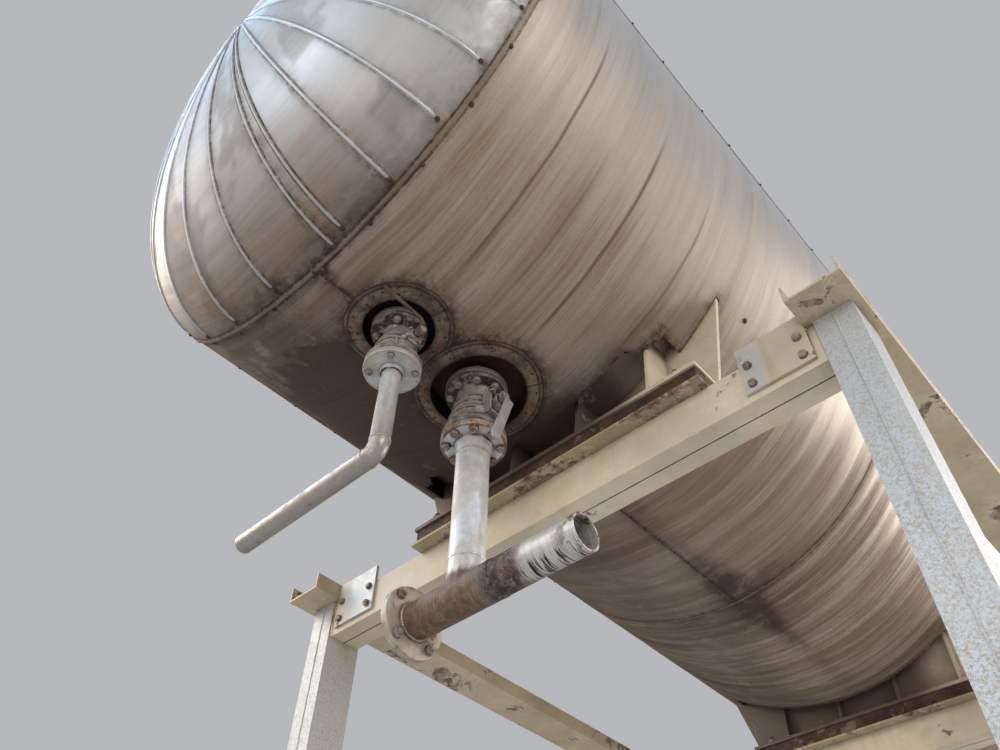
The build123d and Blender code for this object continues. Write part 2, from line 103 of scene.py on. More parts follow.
# ------------------------------------------------------------------ mesh making
class Mesh:
    """Collects vertices, faces and vertex values of one piece."""

    def __init__(self):
        self.v, self.f, self.a, self.n = [], [], {}, 0

    def add(self, verts, faces, **values):
        verts = np.asarray(verts, float).reshape(-1, 3)
        for k in set(values) | set(self.a):
            if k not in self.a:
                like = np.atleast_1d(np.asarray(values[k], float))
                width = like.shape[-1] if like.ndim > 1 else 0
                self.a[k] = [np.zeros((self.n, width) if width else self.n)] if self.n else []
            if k in values:
                val = np.asarray(values[k], float)
                if val.ndim == 0:
                    val = np.full(len(verts), float(val))
                self.a[k].append(val)
            else:
                width = self.a[k][0].shape[1] if self.a[k] and self.a[k][0].ndim > 1 else 0
                self.a[k].append(np.zeros((len(verts), width) if width else len(verts)))
        self.v.append(verts)
        self.f.extend(tuple(int(i) + self.n for i in face) for face in faces)
        self.n += len(verts)
        return self

    def make(self, name, material, body="tank", slot=None, replaces=(), sharp=35, flat=False):
        me = bpy.data.meshes.new(name)
        me.from_pydata(np.concatenate(self.v).tolist(), [], self.f)
        for k, parts in self.a.items():
            data = np.concatenate(parts)
            if data.ndim > 1:
                at = me.attributes.new(k, "FLOAT_VECTOR", "POINT")
                at.data.foreach_set("vector", data.astype(np.float32).ravel())
            else:
                at = me.attributes.new(k, "FLOAT", "POINT")
                at.data.foreach_set("value", data.astype(np.float32))
        bm = bmesh.new()
        bm.from_mesh(me)
        bmesh.ops.recalc_face_normals(bm, faces=bm.faces)
        bm.to_mesh(me)
        bm.free()
        me.polygons.foreach_set("use_smooth", [not flat] * len(me.polygons))
        if not flat:
            me.set_sharp_from_angle(angle=math.radians(sharp))
        me.materials.append(material)
        ob = bpy.data.objects.new(name, me)
        bpy.context.scene.collection.objects.link(ob)
        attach(ob, body)
        if replaces:
            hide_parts(*replaces)
        return ob


def axes(origin, axis, ref=None):
    """4x4 frame whose Z runs along axis."""
    z = Vector(axis).normalized()
    if ref is None:
        ref = (0, 0, 1) if abs(z.z) < 0.9 else (1, 0, 0)
    x = (Vector(ref) - Vector(ref).dot(z) * z).normalized()
    y = z.cross(x)
    m = Matrix((x, y, z)).transposed().to_4x4()
    m.translation = Vector(origin)
    return np.array(m)


def place(m, pts):
    pts = np.asarray(pts, float)
    return pts @ m[:3, :3].T + m[:3, 3]


def lathe(mesh, m, profile, n=48, closed=False, wobble=None, **values):
    """Turns (radius, height) points about Z of frame m. An open profile starts and ends on the axis or is capped."""
    prof = list(profile)
    verts, rings = [], []
    for r, z in prof:
        if r < 1e-7:
            rings.append([len(verts)])
            verts.append((0, 0, z))
        else:
            start = len(verts)
            for i in range(n):
                a = 2 * math.pi * i / n
                rr = r + (wobble(a, z) if wobble else 0)
                verts.append((rr * math.cos(a), rr * math.sin(a), z))
            rings.append(list(range(start, start + n)))
    faces = []
    pairs = list(zip(rings[:-1], rings[1:]))
    if closed:
        pairs.append((rings[-1], rings[0]))
    for a, b in pairs:
        if len(a) == 1 and len(b) == 1:
            continue
        for i in range(n):
            j = (i + 1) % n
            if len(a) == 1:
                faces.append((a[0], b[j], b[i]))
            elif len(b) == 1:
                faces.append((a[i], a[j], b[0]))
            else:
                faces.append((a[i], a[j], b[j], b[i]))
    if not closed:
        if len(rings[0]) > 1:
            faces.append(tuple(rings[0][::-1]))
        if len(rings[-1]) > 1:
            faces.append(tuple(rings[-1]))
    mesh.add(place(m, verts), faces, **values)
    return mesh


def rounded(points, r=0.0008, steps=2):
    """Rounds the corners of a closed (radius, height) outline by a small amount."""
    pts = [np.array(p, float) for p in points]
    out = []
    for i, p in enumerate(pts):
        a, b = pts[i - 1], pts[(i + 1) % len(pts)]
        da, db = a - p, b - p
        la, lb = np.linalg.norm(da), np.linalg.norm(db)
        if la < 1e-9 or lb < 1e-9:
            continue
        cosang = np.dot(da, db) / la / lb
        if cosang < -0.97:
            out.append(tuple(p))
            continue
        k = min(r, 0.4 * la, 0.4 * lb)
        p0, p1 = p + da / la * k, p + db / lb * k
        for s in range(steps + 1):
            t = s / steps
            q = (1 - t) ** 2 * p0 + 2 * t * (1 - t) * p + t * t * p1
            out.append(tuple(q))
    return out


def sweep(mesh, path, radius, n=16, caps=True, closed=False, **values):
    """Round bar along a list of points. radius is a number or one for each point."""
    path = np.asarray(path, float)
    k = len(path)
    rad = np.broadcast_to(np.asarray(radius, float), (k,))
    tang = np.gradient(path, axis=0)
    if closed:
        tang = np.roll(path, -1, 0) - np.roll(path, 1, 0)
    tang /= np.linalg.norm(tang, axis=1)[:, None]
    ref = np.array((0.0, 0, 1)) if abs(tang[0][2]) < 0.9 else np.array((1.0, 0, 0))
    x = ref - ref.dot(tang[0]) * tang[0]
    x /= np.linalg.norm(x)
    verts = []
    for i in range(k):
        x = x - x.dot(tang[i]) * tang[i]
        x /= np.linalg.norm(x)
        y = np.cross(tang[i], x)
        for j in range(n):
            a = 2 * math.pi * j / n
            verts.append(path[i] + rad[i] * (math.cos(a) * x + math.sin(a) * y))
    faces = []
    for i in range(k if closed else k - 1):
        i2 = (i + 1) % k
        for j in range(n):
            j2 = (j + 1) % n
            faces.append((i * n + j, i * n + j2, i2 * n + j2, i2 * n + j))
    if caps and not closed:
        faces.append(tuple(range(n))[::-1])
        faces.append(tuple((k - 1) * n + j for j in range(n)))
    mesh.add(verts, faces, **values)
    return mesh


def hexagon(mesh, m, across, z0, z1, chamfer=0.12, turn=0.0, **values):
    """Hexagonal prism with chamfered far end."""
    rc = across / 2 / math.cos(math.pi / 6)
    h = z1 - z0
    rings = [(rc, z0), (rc, z1 - chamfer * h * 1.2), (rc * 0.88, z1)]
    verts = []
    for r, z in rings:
        for i in range(6):
            a = turn + math.pi / 3 * i
            verts.append((r * math.cos(a), r * math.sin(a), z))
    faces = [tuple(range(5, -1, -1)), tuple(range(12, 18))]
    for k in range(2):
        for i in range(6):
            j = (i + 1) % 6
            faces.append((k * 6 + i, k * 6 + j, k * 6 + 6 + j, k * 6 + 6 + i))
    mesh.add(place(m, verts), faces, **values)
    return mesh


def stud_end(mesh, m, r, z0, z1, **values):
    """Threaded end with rings."""
    prof = [(0, z0 - 0.001)]
    z, k = z0, 0
    prof.append((r, z0 - 0.001))
    pitch = 0.0022
    while z < z1 - pitch:
        prof += [(r, z), (r * 0.86, z + pitch / 2)]
        z += pitch
    prof += [(r * 0.9, z1), (0, z1)]
    lathe(mesh, m, prof, 12, **values)
    return mesh


def nut_set(mesh, point, axis, size=0.024, height=0.014, stud=0.008, proud=0.008, turn=0.3, washer=True, **values):
    """Washer, nut and stud end standing on a face at point, along axis."""
    m = axes(point, axis)
    if washer:
        lathe(mesh, m, [(0, 0), (size * 0.62, 0), (size * 0.62, 0.0022), (0, 0.0022)], 20, **values)
    hexagon(mesh, m, size, 0.002, 0.002 + height, turn=turn, **values)
    if proud > 0:
        stud_end(mesh, m, stud, 0.002 + height, 0.002 + height + proud, **values)
    return mesh


def weld_ring(mesh, m, r, bead=0.0035, n=120, seed=1, **values):
    """Rippled weld bead round a pipe, centred on the frame's XY circle."""
    k = 8
    verts = []
    for i in range(n):
        a = 2 * math.pi * i / n
        b = bead * (0.82 + 0.25 * (i % 3 == 0) + 0.3 * (value_noise(i * 0.35, seed * 3.3, seed) - 0.5))
        off = bead * 0.5 * (value_noise(i * 0.21, seed * 1.7, seed + 5) - 0.5)
        for j in range(k):
            c = 2 * math.pi * j / k
            rr = r + b * 0.55 * math.cos(c)
            verts.append((rr * math.cos(a), rr * math.sin(a), off + b * 1.25 * math.sin(c)))
    faces = []
    for i in range(n):
        i2 = (i + 1) % n
        for j in range(k):
            j2 = (j + 1) % k
            faces.append((i * k + j, i2 * k + j, i2 * k + j2, i * k + j2))
    mesh.add(place(m, verts), faces, **values)
    return mesh


def block(mesh, lo, hi, bevel=0.0015, m=None, **values):
    """Box with small bevelled edges."""
    lo, hi = np.asarray(lo, float), np.asarray(hi, float)
    b = min(bevel, 0.45 * float(min(hi - lo)))
    verts, index = [], {}
    for sx in (0, 1):
        for sy in (0, 1):
            for sz in (0, 1):
                c = np.array([hi[0] if sx else lo[0], hi[1] if sy else lo[1], hi[2] if sz else lo[2]])
                inw = np.array([-1 if sx else 1, -1 if sy else 1, -1 if sz else 1]) * b
                for ax in range(3):
                    p = c + inw
                    p[ax] = c[ax]
                    index[(sx, sy, sz, ax)] = len(verts)
                    verts.append(p)
    faces = []
    for ax in range(3):
        u, w = (ax + 1) % 3, (ax + 2) % 3
        for s in (0, 1):
            quad = []
            for a, c in ((0, 0), (1, 0), (1, 1), (0, 1)):
                key = [0, 0, 0]
                key[ax], key[u], key[w] = s, a, c
                quad.append(index[(*key, ax)])
            faces.append(tuple(quad if s else quad[::-1]))
        for a in (0, 1):
            for c in (0, 1):
                k0, k1 = [0, 0, 0], [0, 0, 0]
                k0[ax], k1[ax] = 0, 1
                k0[u] = k1[u] = a
                k0[w] = k1[w] = c
                faces.append((index[(*k0, u)], index[(*k1, u)], index[(*k1, w)], index[(*k0, w)]))
    for sx in (0, 1):
        for sy in (0, 1):
            for sz in (0, 1):
                faces.append(tuple(index[(sx, sy, sz, ax)] for ax in range(3)))
    pts = np.array(verts)
    if m is not None:
        pts = place(m, pts)
    mesh.add(pts, faces, **values)
    return mesh


def shell(mesh, outer, inner, keep, **values):
    """Closed sheet from two point grids (rows x cols x 3) over the kept cells."""
    rows, cols = outer.shape[:2]
    base = rows * cols
    used = np.zeros((rows, cols), bool)
    used[:-1, :-1] |= keep
    used[1:, :-1] |= keep
    used[:-1, 1:] |= keep
    used[1:, 1:] |= keep
    number = np.full((rows, cols), -1)
    number[used] = np.arange(used.sum())
    count = int(used.sum())
    pts = np.concatenate([outer[used], inner[used]])
    faces = []
    r, c = np.nonzero(keep)
    a, b, d, e = number[r, c], number[r + 1, c], number[r + 1, c + 1], number[r, c + 1]
    top = np.stack([a, b, d, e], 1)
    faces.extend(map(tuple, top.tolist()))
    faces.extend(map(tuple, (top[:, ::-1] + count).tolist()))
    pad = np.zeros((keep.shape[0] + 2, keep.shape[1] + 2), bool)
    pad[1:-1, 1:-1] = keep
    edges = []
    for dr, dc, p, q in ((-1, 0, (0, 0), (0, 1)), (1, 0, (1, 1), (1, 0)), (0, -1, (1, 0), (0, 0)), (0, 1, (0, 1), (1, 1))):
        rim = keep & ~pad[1 + dr:1 + dr + keep.shape[0], 1 + dc:1 + dc + keep.shape[1]]
        rr, cc = np.nonzero(rim)
        i0, i1 = number[rr + p[0], cc + p[1]], number[rr + q[0], cc + q[1]]
        edges.append(np.stack([i0, i1, i1 + count, i0 + count], 1))
    faces.extend(map(tuple, np.concatenate(edges).tolist()))
    packed = {}
    for k, val in values.items():
        val = np.asarray(val, float)
        if val.ndim == 0:
            packed[k] = val
        else:
            packed[k] = np.concatenate([val[used], val[used]])
    mesh.add(pts, faces, **packed)
    return mesh


# ------------------------------------------------------------------ materials
class Shade:
    """Short way to write a node material."""

    def __init__(self, name):
        self.mat = bpy.data.materials.new(name)
        self.mat.use_nodes = True
        self.nt = self.mat.node_tree
        self.nt.nodes.clear()
        self.out = self.nt.nodes.new("ShaderNodeOutputMaterial")
        self.bsdf = self.nt.nodes.new("ShaderNodeBsdfPrincipled")
        self.nt.links.new(self.bsdf.outputs[0], self.out.inputs[0])
        self.coord = self.nt.nodes.new("ShaderNodeTexCoord").outputs["Object"]

    def put(self, socket, value):
        if isinstance(value, bpy.types.NodeSocket):
            self.nt.links.new(value, socket)
        elif isinstance(value, (tuple, list)) and socket.type == "RGBA":
            socket.default_value = (*value[:3], 1.0)
        else:
            socket.default_value = value

    def attr(self, name, out="Fac"):
        n = self.nt.nodes.new("ShaderNodeAttribute")
        n.attribute_name = name
        return n.outputs[out]

    def math(self, op, a, b=0.0, clamp=False):
        n = self.nt.nodes.new("ShaderNodeMath")
        n.operation = op
        n.use_clamp = clamp
        self.put(n.inputs[0], a)
        self.put(n.inputs[1], b)
        return n.outputs[0]

    def scale(self, vec, xyz, offset=(0, 0, 0)):
        n = self.nt.nodes.new("ShaderNodeMapping")
        self.put(n.inputs["Vector"], vec)
        n.inputs["Scale"].default_value = xyz
        n.inputs["Location"].default_value = offset
        return n.outputs[0]

    def warp(self, vec, amount, size):
        """Adds a little noise to a coordinate."""
        n = self.nt.nodes.new("ShaderNodeTexNoise")
        n.inputs["Scale"].default_value = size
        n.inputs["Detail"].default_value = 2
        self.put(n.inputs["Vector"], vec)
        sub = self.nt.nodes.new("ShaderNodeVectorMath")
        sub.operation = "SUBTRACT"
        self.put(sub.inputs[0], n.outputs["Color"])
        sub.inputs[1].default_value = (0.5, 0.5, 0.5)
        mul = self.nt.nodes.new("ShaderNodeVectorMath")
        mul.operation = "MULTIPLY"
        self.put(mul.inputs[0], sub.outputs[0])
        mul.inputs[1].default_value = amount if isinstance(amount, (tuple, list)) else (amount,) * 3
        add = self.nt.nodes.new("ShaderNodeVectorMath")
        add.operation = "ADD"
        self.put(add.inputs[0], vec)
        self.put(add.inputs[1], mul.outputs[0])
        return add.outputs[0]

    def noise(self, vec, size, detail=4.0, rough=0.55, lac=2.0, dist=0.0):
        n = self.nt.nodes.new("ShaderNodeTexNoise")
        self.put(n.inputs["Vector"], vec)
        n.inputs["Scale"].default_value = size
        n.inputs["Detail"].default_value = detail
        n.inputs["Roughness"].default_value = rough
        n.inputs["Lacunarity"].default_value = lac
        n.inputs["Distortion"].default_value = dist
        return n.outputs["Fac"]

    def voronoi(self, vec, size, feature="F1", out="Distance", random=1.0):
        n = self.nt.nodes.new("ShaderNodeTexVoronoi")
        n.feature = feature
        self.put(n.inputs["Vector"], vec)
        n.inputs["Scale"].default_value = size
        n.inputs["Randomness"].default_value = random
        return n.outputs[out]

    def range(self, x, a, b, lo=0.0, hi=1.0, kind="SMOOTHSTEP"):
        n = self.nt.nodes.new("ShaderNodeMapRange")
        n.interpolation_type = kind
        n.clamp = True
        self.put(n.inputs["Value"], x)
        n.inputs["From Min"].default_value = a
        n.inputs["From Max"].default_value = b
        n.inputs["To Min"].default_value = lo
        n.inputs["To Max"].default_value = hi
        return n.outputs[0]

    def mix(self, fac, a, b, mode="MIX"):
        n = self.nt.nodes.new("ShaderNodeMix")
        n.data_type = "RGBA"
        n.blend_type = mode
        self.put(n.inputs[0], fac)
        self.put(n.inputs[6], a)
        self.put(n.inputs[7], b)
        return n.outputs[2]

    def split(self, vec):
        n = self.nt.nodes.new("ShaderNodeSeparateXYZ")
        self.put(n.inputs[0], vec)
        return n.outputs

    def crevice(self, reach, lo=0.35, hi=0.85):
        """1 in narrow corners, 0 on open faces; used to paint shade into corners."""
        n = self.nt.nodes.new("ShaderNodeAmbientOcclusion")
        n.samples = 4
        n.inputs["Distance"].default_value = reach
        return self.range(n.outputs["AO"], lo, hi, 1.0, 0.0)

    def bump(self, height, strength=0.4, distance=0.002, normal=None):
        n = self.nt.nodes.new("ShaderNodeBump")
        n.inputs["Strength"].default_value = strength
        n.inputs["Distance"].default_value = distance
        self.put(n.inputs["Height"], height)
        if normal is not None:
            self.put(n.inputs["Normal"], normal)
        return n.outputs[0]

    def done(self, color, rough=0.5, metal=0.0, normal=None, spec=0.5):
        self.put(self.bsdf.inputs["Base Color"], color)
        self.put(self.bsdf.inputs["Roughness"], rough)
        self.put(self.bsdf.inputs["Metallic"], metal)
        self.bsdf.inputs["Specular IOR Level"].default_value = spec
        if normal is not None:
            self.put(self.bsdf.inputs["Normal"], normal)
        return self.mat


def cladding_material(name, bright=1.0, rough_grain=1.0, tone_and_sky_tint=(1.0, 0.910, 0.810), runs=(), even=0.62):
    """Weathered sheet. Vertex values: flow (along the run of water, across it, sheet), dirt, grime, stain; the last
    three hold painted shade as well as dirt.
    """
    s = Shade(name)
    flow = s.attr("flow", "Vector")
    dirt, grime, stain = s.attr("dirt"), s.attr("grime"), s.attr("stain")
    bent = s.warp(flow, (0.0, 0.05, 0.0), 1.6)
    long_streak = s.noise(s.scale(bent, (0.8, 14, 3)), 1.0, 6, 0.62)
    fine_streak = s.noise(s.scale(bent, (2.2, 60, 5)), 1.0, 5, 0.65)
    hair_streak = s.noise(s.scale(bent, (5, 190, 7)), 1.0, 3, 0.6)
    cloud = s.noise(s.coord, 2.3, 6, 0.6)
    speck = s.noise(s.coord, 85, 4, 0.7)
    grain = s.noise(s.scale(bent, (70, 150, 9)), 1.0, 4, 0.75)
    fleck = s.noise(s.scale(s.coord, (1, 1, 1), (4, 2, 9)), 34, 6, 0.75)
    sheet = s.noise(s.scale(flow, (0.0, 0.0, 11.3)), 1.0, 0)
    tinted = lambda v: tuple(v * bright * c for c in tone_and_sky_tint)
    metal_tone = s.mix(cloud, tinted(0.44), tinted(0.60))
    metal_tone = s.mix(s.math("MULTIPLY", s.range(fine_streak, 0.35, 0.75), 0.3 + 0.5 * rough_grain), metal_tone, tinted(0.68))
    metal_tone = s.mix(s.math("MULTIPLY", sheet, 0.25), metal_tone, (0.36, 0.335, 0.30))
    dust_and_shade_tone = s.mix(cloud, (0.278, 0.203, 0.144), (0.180, 0.121, 0.081))
    streak = s.math("ADD", s.math("MULTIPLY", s.range(long_streak, 0.36, 0.68), 0.55), s.math("MULTIPLY", s.range(fine_streak, 0.38, 0.70), 0.45))
    streaky = min(1.0, 0.30 + 0.70 * rough_grain)
    # the dirt value pulls the sheet towards the dust tone: real dirt plus painted shade underneath and away from the
    # light
    amount = s.math("MULTIPLY", dirt, s.math("ADD", 0.55 + 0.35 * (1 - streaky), s.math("MULTIPLY", streak, 0.85 * streaky)), clamp=True)
    color = s.mix(amount, metal_tone, dust_and_shade_tone)
    pale = s.math("MULTIPLY", s.range(s.noise(s.scale(bent, (1.6, 38, 2), (7, 3, 1)), 1.0, 4, 0.6), 0.52, 0.74), 0.34 * rough_grain)
    color = s.mix(pale, color, (0.44, 0.36, 0.275))
    brown = s.math("MULTIPLY", s.range(s.noise(s.scale(bent, (0.5, 9, 4), (3, 1, 2)), 1.0, 7, 0.66), 0.52, 0.68), s.math("ADD", 0.35 * rough_grain, s.math("MULTIPLY", dirt, 0.60 * streaky)))
    color = s.mix(s.math("MULTIPLY", brown, 0.66), color, (0.105, 0.060, 0.038))
    thin = s.math("MULTIPLY", s.range(hair_streak, 0.54, 0.70), s.math("MULTIPLY", s.math("ADD", dirt, stain), 0.46 * rough_grain), clamp=True)
    color = s.mix(thin, color, (0.082, 0.053, 0.037))
    across = s.split(bent)[1]
    arc = s.split(flow)[0]
    for place, width, strength, low, high in runs:
        thread = s.math("MULTIPLY", s.range(across, place - width, place), s.range(across, place + width, place))
        thread = s.math("MULTIPLY", thread, s.math("MULTIPLY", s.range(arc, low, low + 0.15), s.range(arc, high, high - 0.30)))
        thread = s.math("MULTIPLY", thread, s.range(s.noise(s.scale(bent, (1.3, 30, 1), (place, 0, 0)), 1.0, 4, 0.6), 0.25, 0.50, 0.35, 1.0))
        color = s.mix(s.math("MULTIPLY", thread, strength), color, (0.090, 0.040, 0.022))
    ragged = s.math("MULTIPLY", s.math("SUBTRACT", s.noise(s.warp(s.coord, 0.2, 3), 3.2, 8, 0.68), 0.5), 1.3)
    # patch: the stain value darkens towards a damp tone, painted shade where that value holds shade; even sets how flat
    # it lies on the end half of the near band
    patch = s.math("MULTIPLY", stain, s.math("ADD", s.range(s.noise(s.warp(s.coord, 0.1, 6), 7, 7, 0.7), 0.24, 0.54), s.math("MULTIPLY", s.range(s.math("ADD", stain, ragged), 0.66, 1.10, 0.0, even), s.range(s.math("ADD", across, ragged), -0.95, -1.45))), clamp=True)
    damp = s.mix(long_streak, (0.028, 0.015, 0.010), (0.066, 0.038, 0.024))
    damp = s.mix(s.math("MULTIPLY", s.range(fine_streak, 0.46, 0.66), s.range(stain, 0.95, 0.45, 0.0, 0.85)), damp, (0.150, 0.118, 0.088))
    color = s.mix(s.math("MULTIPLY", patch, 0.92), color, damp)
    color = s.mix(s.math("MULTIPLY", s.range(grain, 0.30, 0.52, 1.0, 0.0), s.math("ADD", 0.06 * rough_grain, s.math("MULTIPLY", dirt, 0.24 * rough_grain))), color, (0.060, 0.042, 0.031))
    color = s.mix(s.math("MULTIPLY", s.math("MULTIPLY", s.range(grain, 0.58, 0.76), s.range(patch, 0.0, 1.0, 0.20, 0.03, "LINEAR")), rough_grain), color, (0.56, 0.50, 0.43))
    spots = s.math("MULTIPLY", s.range(speck, 0.62, 0.72), s.math("MULTIPLY", s.range(fleck, 0.50, 0.62), s.math("ADD", 0.25, s.math("ADD", dirt, grime), clamp=True)))
    color = s.mix(s.math("MULTIPLY", spots, 0.85), color, (0.040, 0.028, 0.022))
    # line: dark lines from the grime value, dark joints with painted shade at laps, edges and holes
    line = s.math("MULTIPLY", grime, s.math("ADD", 0.35, s.range(fleck, 0.34, 0.60)), clamp=True)
    color = s.mix(line, color, (0.036, 0.021, 0.014))
    rusty = s.math("MULTIPLY", s.range(grime, 0.15, 0.6), s.range(s.noise(s.coord, 19, 5, 0.7), 0.55, 0.70))
    color = s.mix(s.math("MULTIPLY", rusty, 0.55), color, (0.15, 0.066, 0.030))
    covered = s.math("ADD", amount, s.math("ADD", line, patch), clamp=True)
    rough = s.math("ADD", s.range(covered, 0.0, 1.0, 0.34, 0.74, "LINEAR"), s.math("MULTIPLY", patch, 0.16))
    metal = s.math("MULTIPLY", s.range(covered, 0.1, 0.95, 0.85, 0.10, "LINEAR"), s.range(patch, 0.0, 1.0, 1.0, 0.1, "LINEAR"))
    height = s.math("ADD", s.math("MULTIPLY", s.noise(s.scale(bent, (1.2, 26, 2)), 1.0, 3, 0.5), 1.0), s.math("MULTIPLY", fleck, 0.16))
    n1 = s.bump(height, 0.35, 0.004)
    n2 = s.bump(grain, 0.16, 0.0012, n1)
    return s.done(color, rough, metal, n2, spec=0.38)


def silver_paint(name, tone=(0.46, 0.455, 0.45), rust=0.35, dark=0.5, metal=0.55, shade_and_stain=None):
    """Aluminium paint on steel, worn, with brown rust in patches. Vertex value grime and an occlusion lookup darken
    corners: painted shade with grime.
    """
    s = Shade(name)
    grime = s.attr("grime")
    big = s.noise(s.warp(s.coord, 0.05, 8), 9, 7, 0.65)
    mid = s.noise(s.coord, 38, 6, 0.7)
    fine = s.noise(s.coord, 160, 3, 0.6)
    tall = s.noise(s.scale(s.coord, (70, 70, 9)), 1.0, 4, 0.6)
    color = s.mix(s.range(mid, 0.3, 0.7), tuple(0.78 * c for c in tone), tone)
    color = s.mix(s.math("MULTIPLY", s.range(tall, 0.5, 0.7), 0.35), color, tuple(min(1, 1.45 * c) for c in tone))
    beige = s.math("MULTIPLY", s.range(big, 0.42, 0.62), 0.55)
    color = s.mix(beige, color, (0.36, 0.30, 0.235))
    # zone towards the colour below: brown staining on the lower drain pipe
    if shade_and_stain:
        axis, a, b, amount, below = shade_and_stain
        zone = s.math("MULTIPLY", s.range(s.math("ADD", s.split(s.coord)[axis], s.math("MULTIPLY", s.math("SUBTRACT", big, 0.5), 0.10)), a, b), amount)
        color = s.mix(zone, color, s.mix(mid, below, tuple(1.35 * c for c in below)))
    worn = s.range(s.noise(s.warp(s.coord, 0.03, 20), 17, 8, 0.72), 0.66 - 0.22 * rust, 0.74 - 0.18 * rust)
    color = s.mix(s.math("MULTIPLY", worn, 0.85), color, s.mix(mid, (0.10, 0.045, 0.025), (0.21, 0.105, 0.055)))
    spots = s.math("MULTIPLY", s.range(fine, 0.60, 0.72), s.range(mid, 0.46, 0.6))
    color = s.mix(s.math("MULTIPLY", spots, dark), color, (0.05, 0.038, 0.03))
    # painted shade in crevices from the occlusion lookup, with grime
    line = s.math("MULTIPLY", s.math("MAXIMUM", grime, s.math("MULTIPLY", s.crevice(0.022), 0.85)), s.math("ADD", 0.50, s.range(mid, 0.35, 0.6)), clamp=True)
    color = s.mix(line, color, (0.028, 0.018, 0.013))
    covered = s.math("ADD", s.math("ADD", worn, line), s.math("MULTIPLY", beige, 0.8), clamp=True)
    rough = s.range(covered, 0, 1, 0.34, 0.8, "LINEAR")
    met = s.range(covered, 0, 1, metal, 0.0, "LINEAR")
    height = s.math("ADD", s.math("MULTIPLY", worn, -0.6), s.math("MULTIPLY", mid, 0.5))
    return s.done(color, rough, met, s.bump(fine, 0.15, 0.0006, s.bump(height, 0.5, 0.0012)))


def cream_paint(name, tone=(0.60, 0.52, 0.385), peel=0.4, rust=0.4, silver=0.0, tall=(1, 1, 1), shade_and_stain=None):
    """Old cream paint on steel: chalky, stained, flaking to primer and rust."""
    s = Shade(name)
    big = s.noise(s.warp(s.coord, 0.1, 3), 3.1, 7, 0.62)
    mid = s.noise(s.scale(s.coord, tall), 13, 7, 0.68)
    fine = s.noise(s.coord, 70, 5, 0.65)
    color = s.mix(s.range(big, 0.3, 0.7), tuple(0.82 * c for c in tone), tuple(min(1, 1.1 * c) for c in tone))
    color = s.mix(s.math("MULTIPLY", s.range(mid, 0.45, 0.7), 0.35), color, tuple(c * d for c, d in zip(tone, (0.75, 0.66, 0.55))))
    # zone towards the colour below: painted shade on the saddle and beam towards -X
    if shade_and_stain:
        axis, a, b, amount, below = shade_and_stain
        zone = s.math("MULTIPLY", s.range(s.math("ADD", s.split(s.coord)[axis], s.math("MULTIPLY", s.math("SUBTRACT", big, 0.5), 0.25)), a, b), amount)
        color = s.mix(zone, color, s.mix(mid, below, tuple(1.6 * c for c in below)))
    run = s.noise(s.scale(s.coord, (26, 26, 1.3)), 1.0, 5, 0.6)
    color = s.mix(s.math("MULTIPLY", s.range(run, 0.58, 0.74), 0.35 * rust + 0.08), color, (0.27, 0.15, 0.08))
    cell = s.voronoi(s.warp(s.coord, 0.03, 14), 17, "F1")
    edge = s.voronoi(s.warp(s.coord, 0.03, 14), 17, "DISTANCE_TO_EDGE")
    area = s.range(s.noise(s.warp(s.coord, 0.12, 5), 4.3, 8, 0.7), 0.70 - 0.26 * peel, 0.73 - 0.26 * peel)
    cracks = s.math("MULTIPLY", s.range(edge, 0.0, 0.035, 1.0, 0.0), s.range(s.noise(s.coord, 5.1, 4, 0.6), 0.56, 0.66))
    bare = s.math("MAXIMUM", area, s.math("MULTIPLY", cracks, 0.8 * peel))
    under = s.mix(s.range(s.noise(s.coord, 23, 6, 0.7), 0.42, 0.62), (0.30, 0.26, 0.20), (0.14, 0.062, 0.032))
    color = s.mix(bare, color, under)
    rim = s.math("MULTIPLY", s.range(s.noise(s.warp(s.coord, 0.12, 5), 4.3, 8, 0.7), 0.655 - 0.26 * peel, 0.70 - 0.26 * peel), s.math("SUBTRACT", 1.0, area))
    color = s.mix(s.math("MULTIPLY", rim, 0.3), color, (0.66, 0.60, 0.50))
    rusts = s.math("MULTIPLY", s.range(s.noise(s.warp(s.coord, 0.05, 11), 8.7, 8, 0.74), 0.72 - 0.2 * rust, 0.78 - 0.2 * rust), 0.9)
    color = s.mix(rusts, color, s.mix(fine, (0.07, 0.028, 0.016), (0.21, 0.09, 0.04)))
    # painted shade in corners from the occlusion lookup (6 cm reach), with grime
    grime = s.attr("grime")
    grime = s.math("MAXIMUM", grime, s.math("MULTIPLY", s.crevice(0.06, 0.25, 0.75), 0.75))
    color = s.mix(s.math("MULTIPLY", grime, s.range(mid, 0.3, 0.6, 0.5, 1.0), clamp=True), color, (0.06, 0.038, 0.026))
    metal = 0.0
    rough = s.range(fine, 0.3, 0.7, 0.52, 0.72)
    if silver > 0:
        flake = s.math("MULTIPLY", s.range(s.noise(s.warp(s.coord, 0.008, 60), 150, 8, 0.86), 0.42, 0.54), s.range(s.noise(s.scale(s.coord, (1, 1, 0.35)), 2.7, 4, 0.6), 0.60 - 0.35 * silver, 0.70 - 0.35 * silver))
        color = s.mix(flake, color, (0.45, 0.48, 0.52))
        metal = s.math("MULTIPLY", flake, 0.38)
        rough = s.mix(flake, (0.66, 0.66, 0.66), (0.48, 0.48, 0.48))
    height = s.math("SUBTRACT", s.math("ADD", s.math("MULTIPLY", fine, 0.12), s.math("MULTIPLY", rim, 0.5)), s.math("MULTIPLY", bare, 0.7))
    return s.done(color, rough, metal, s.bump(height, 0.6, 0.0022), spec=0.4)


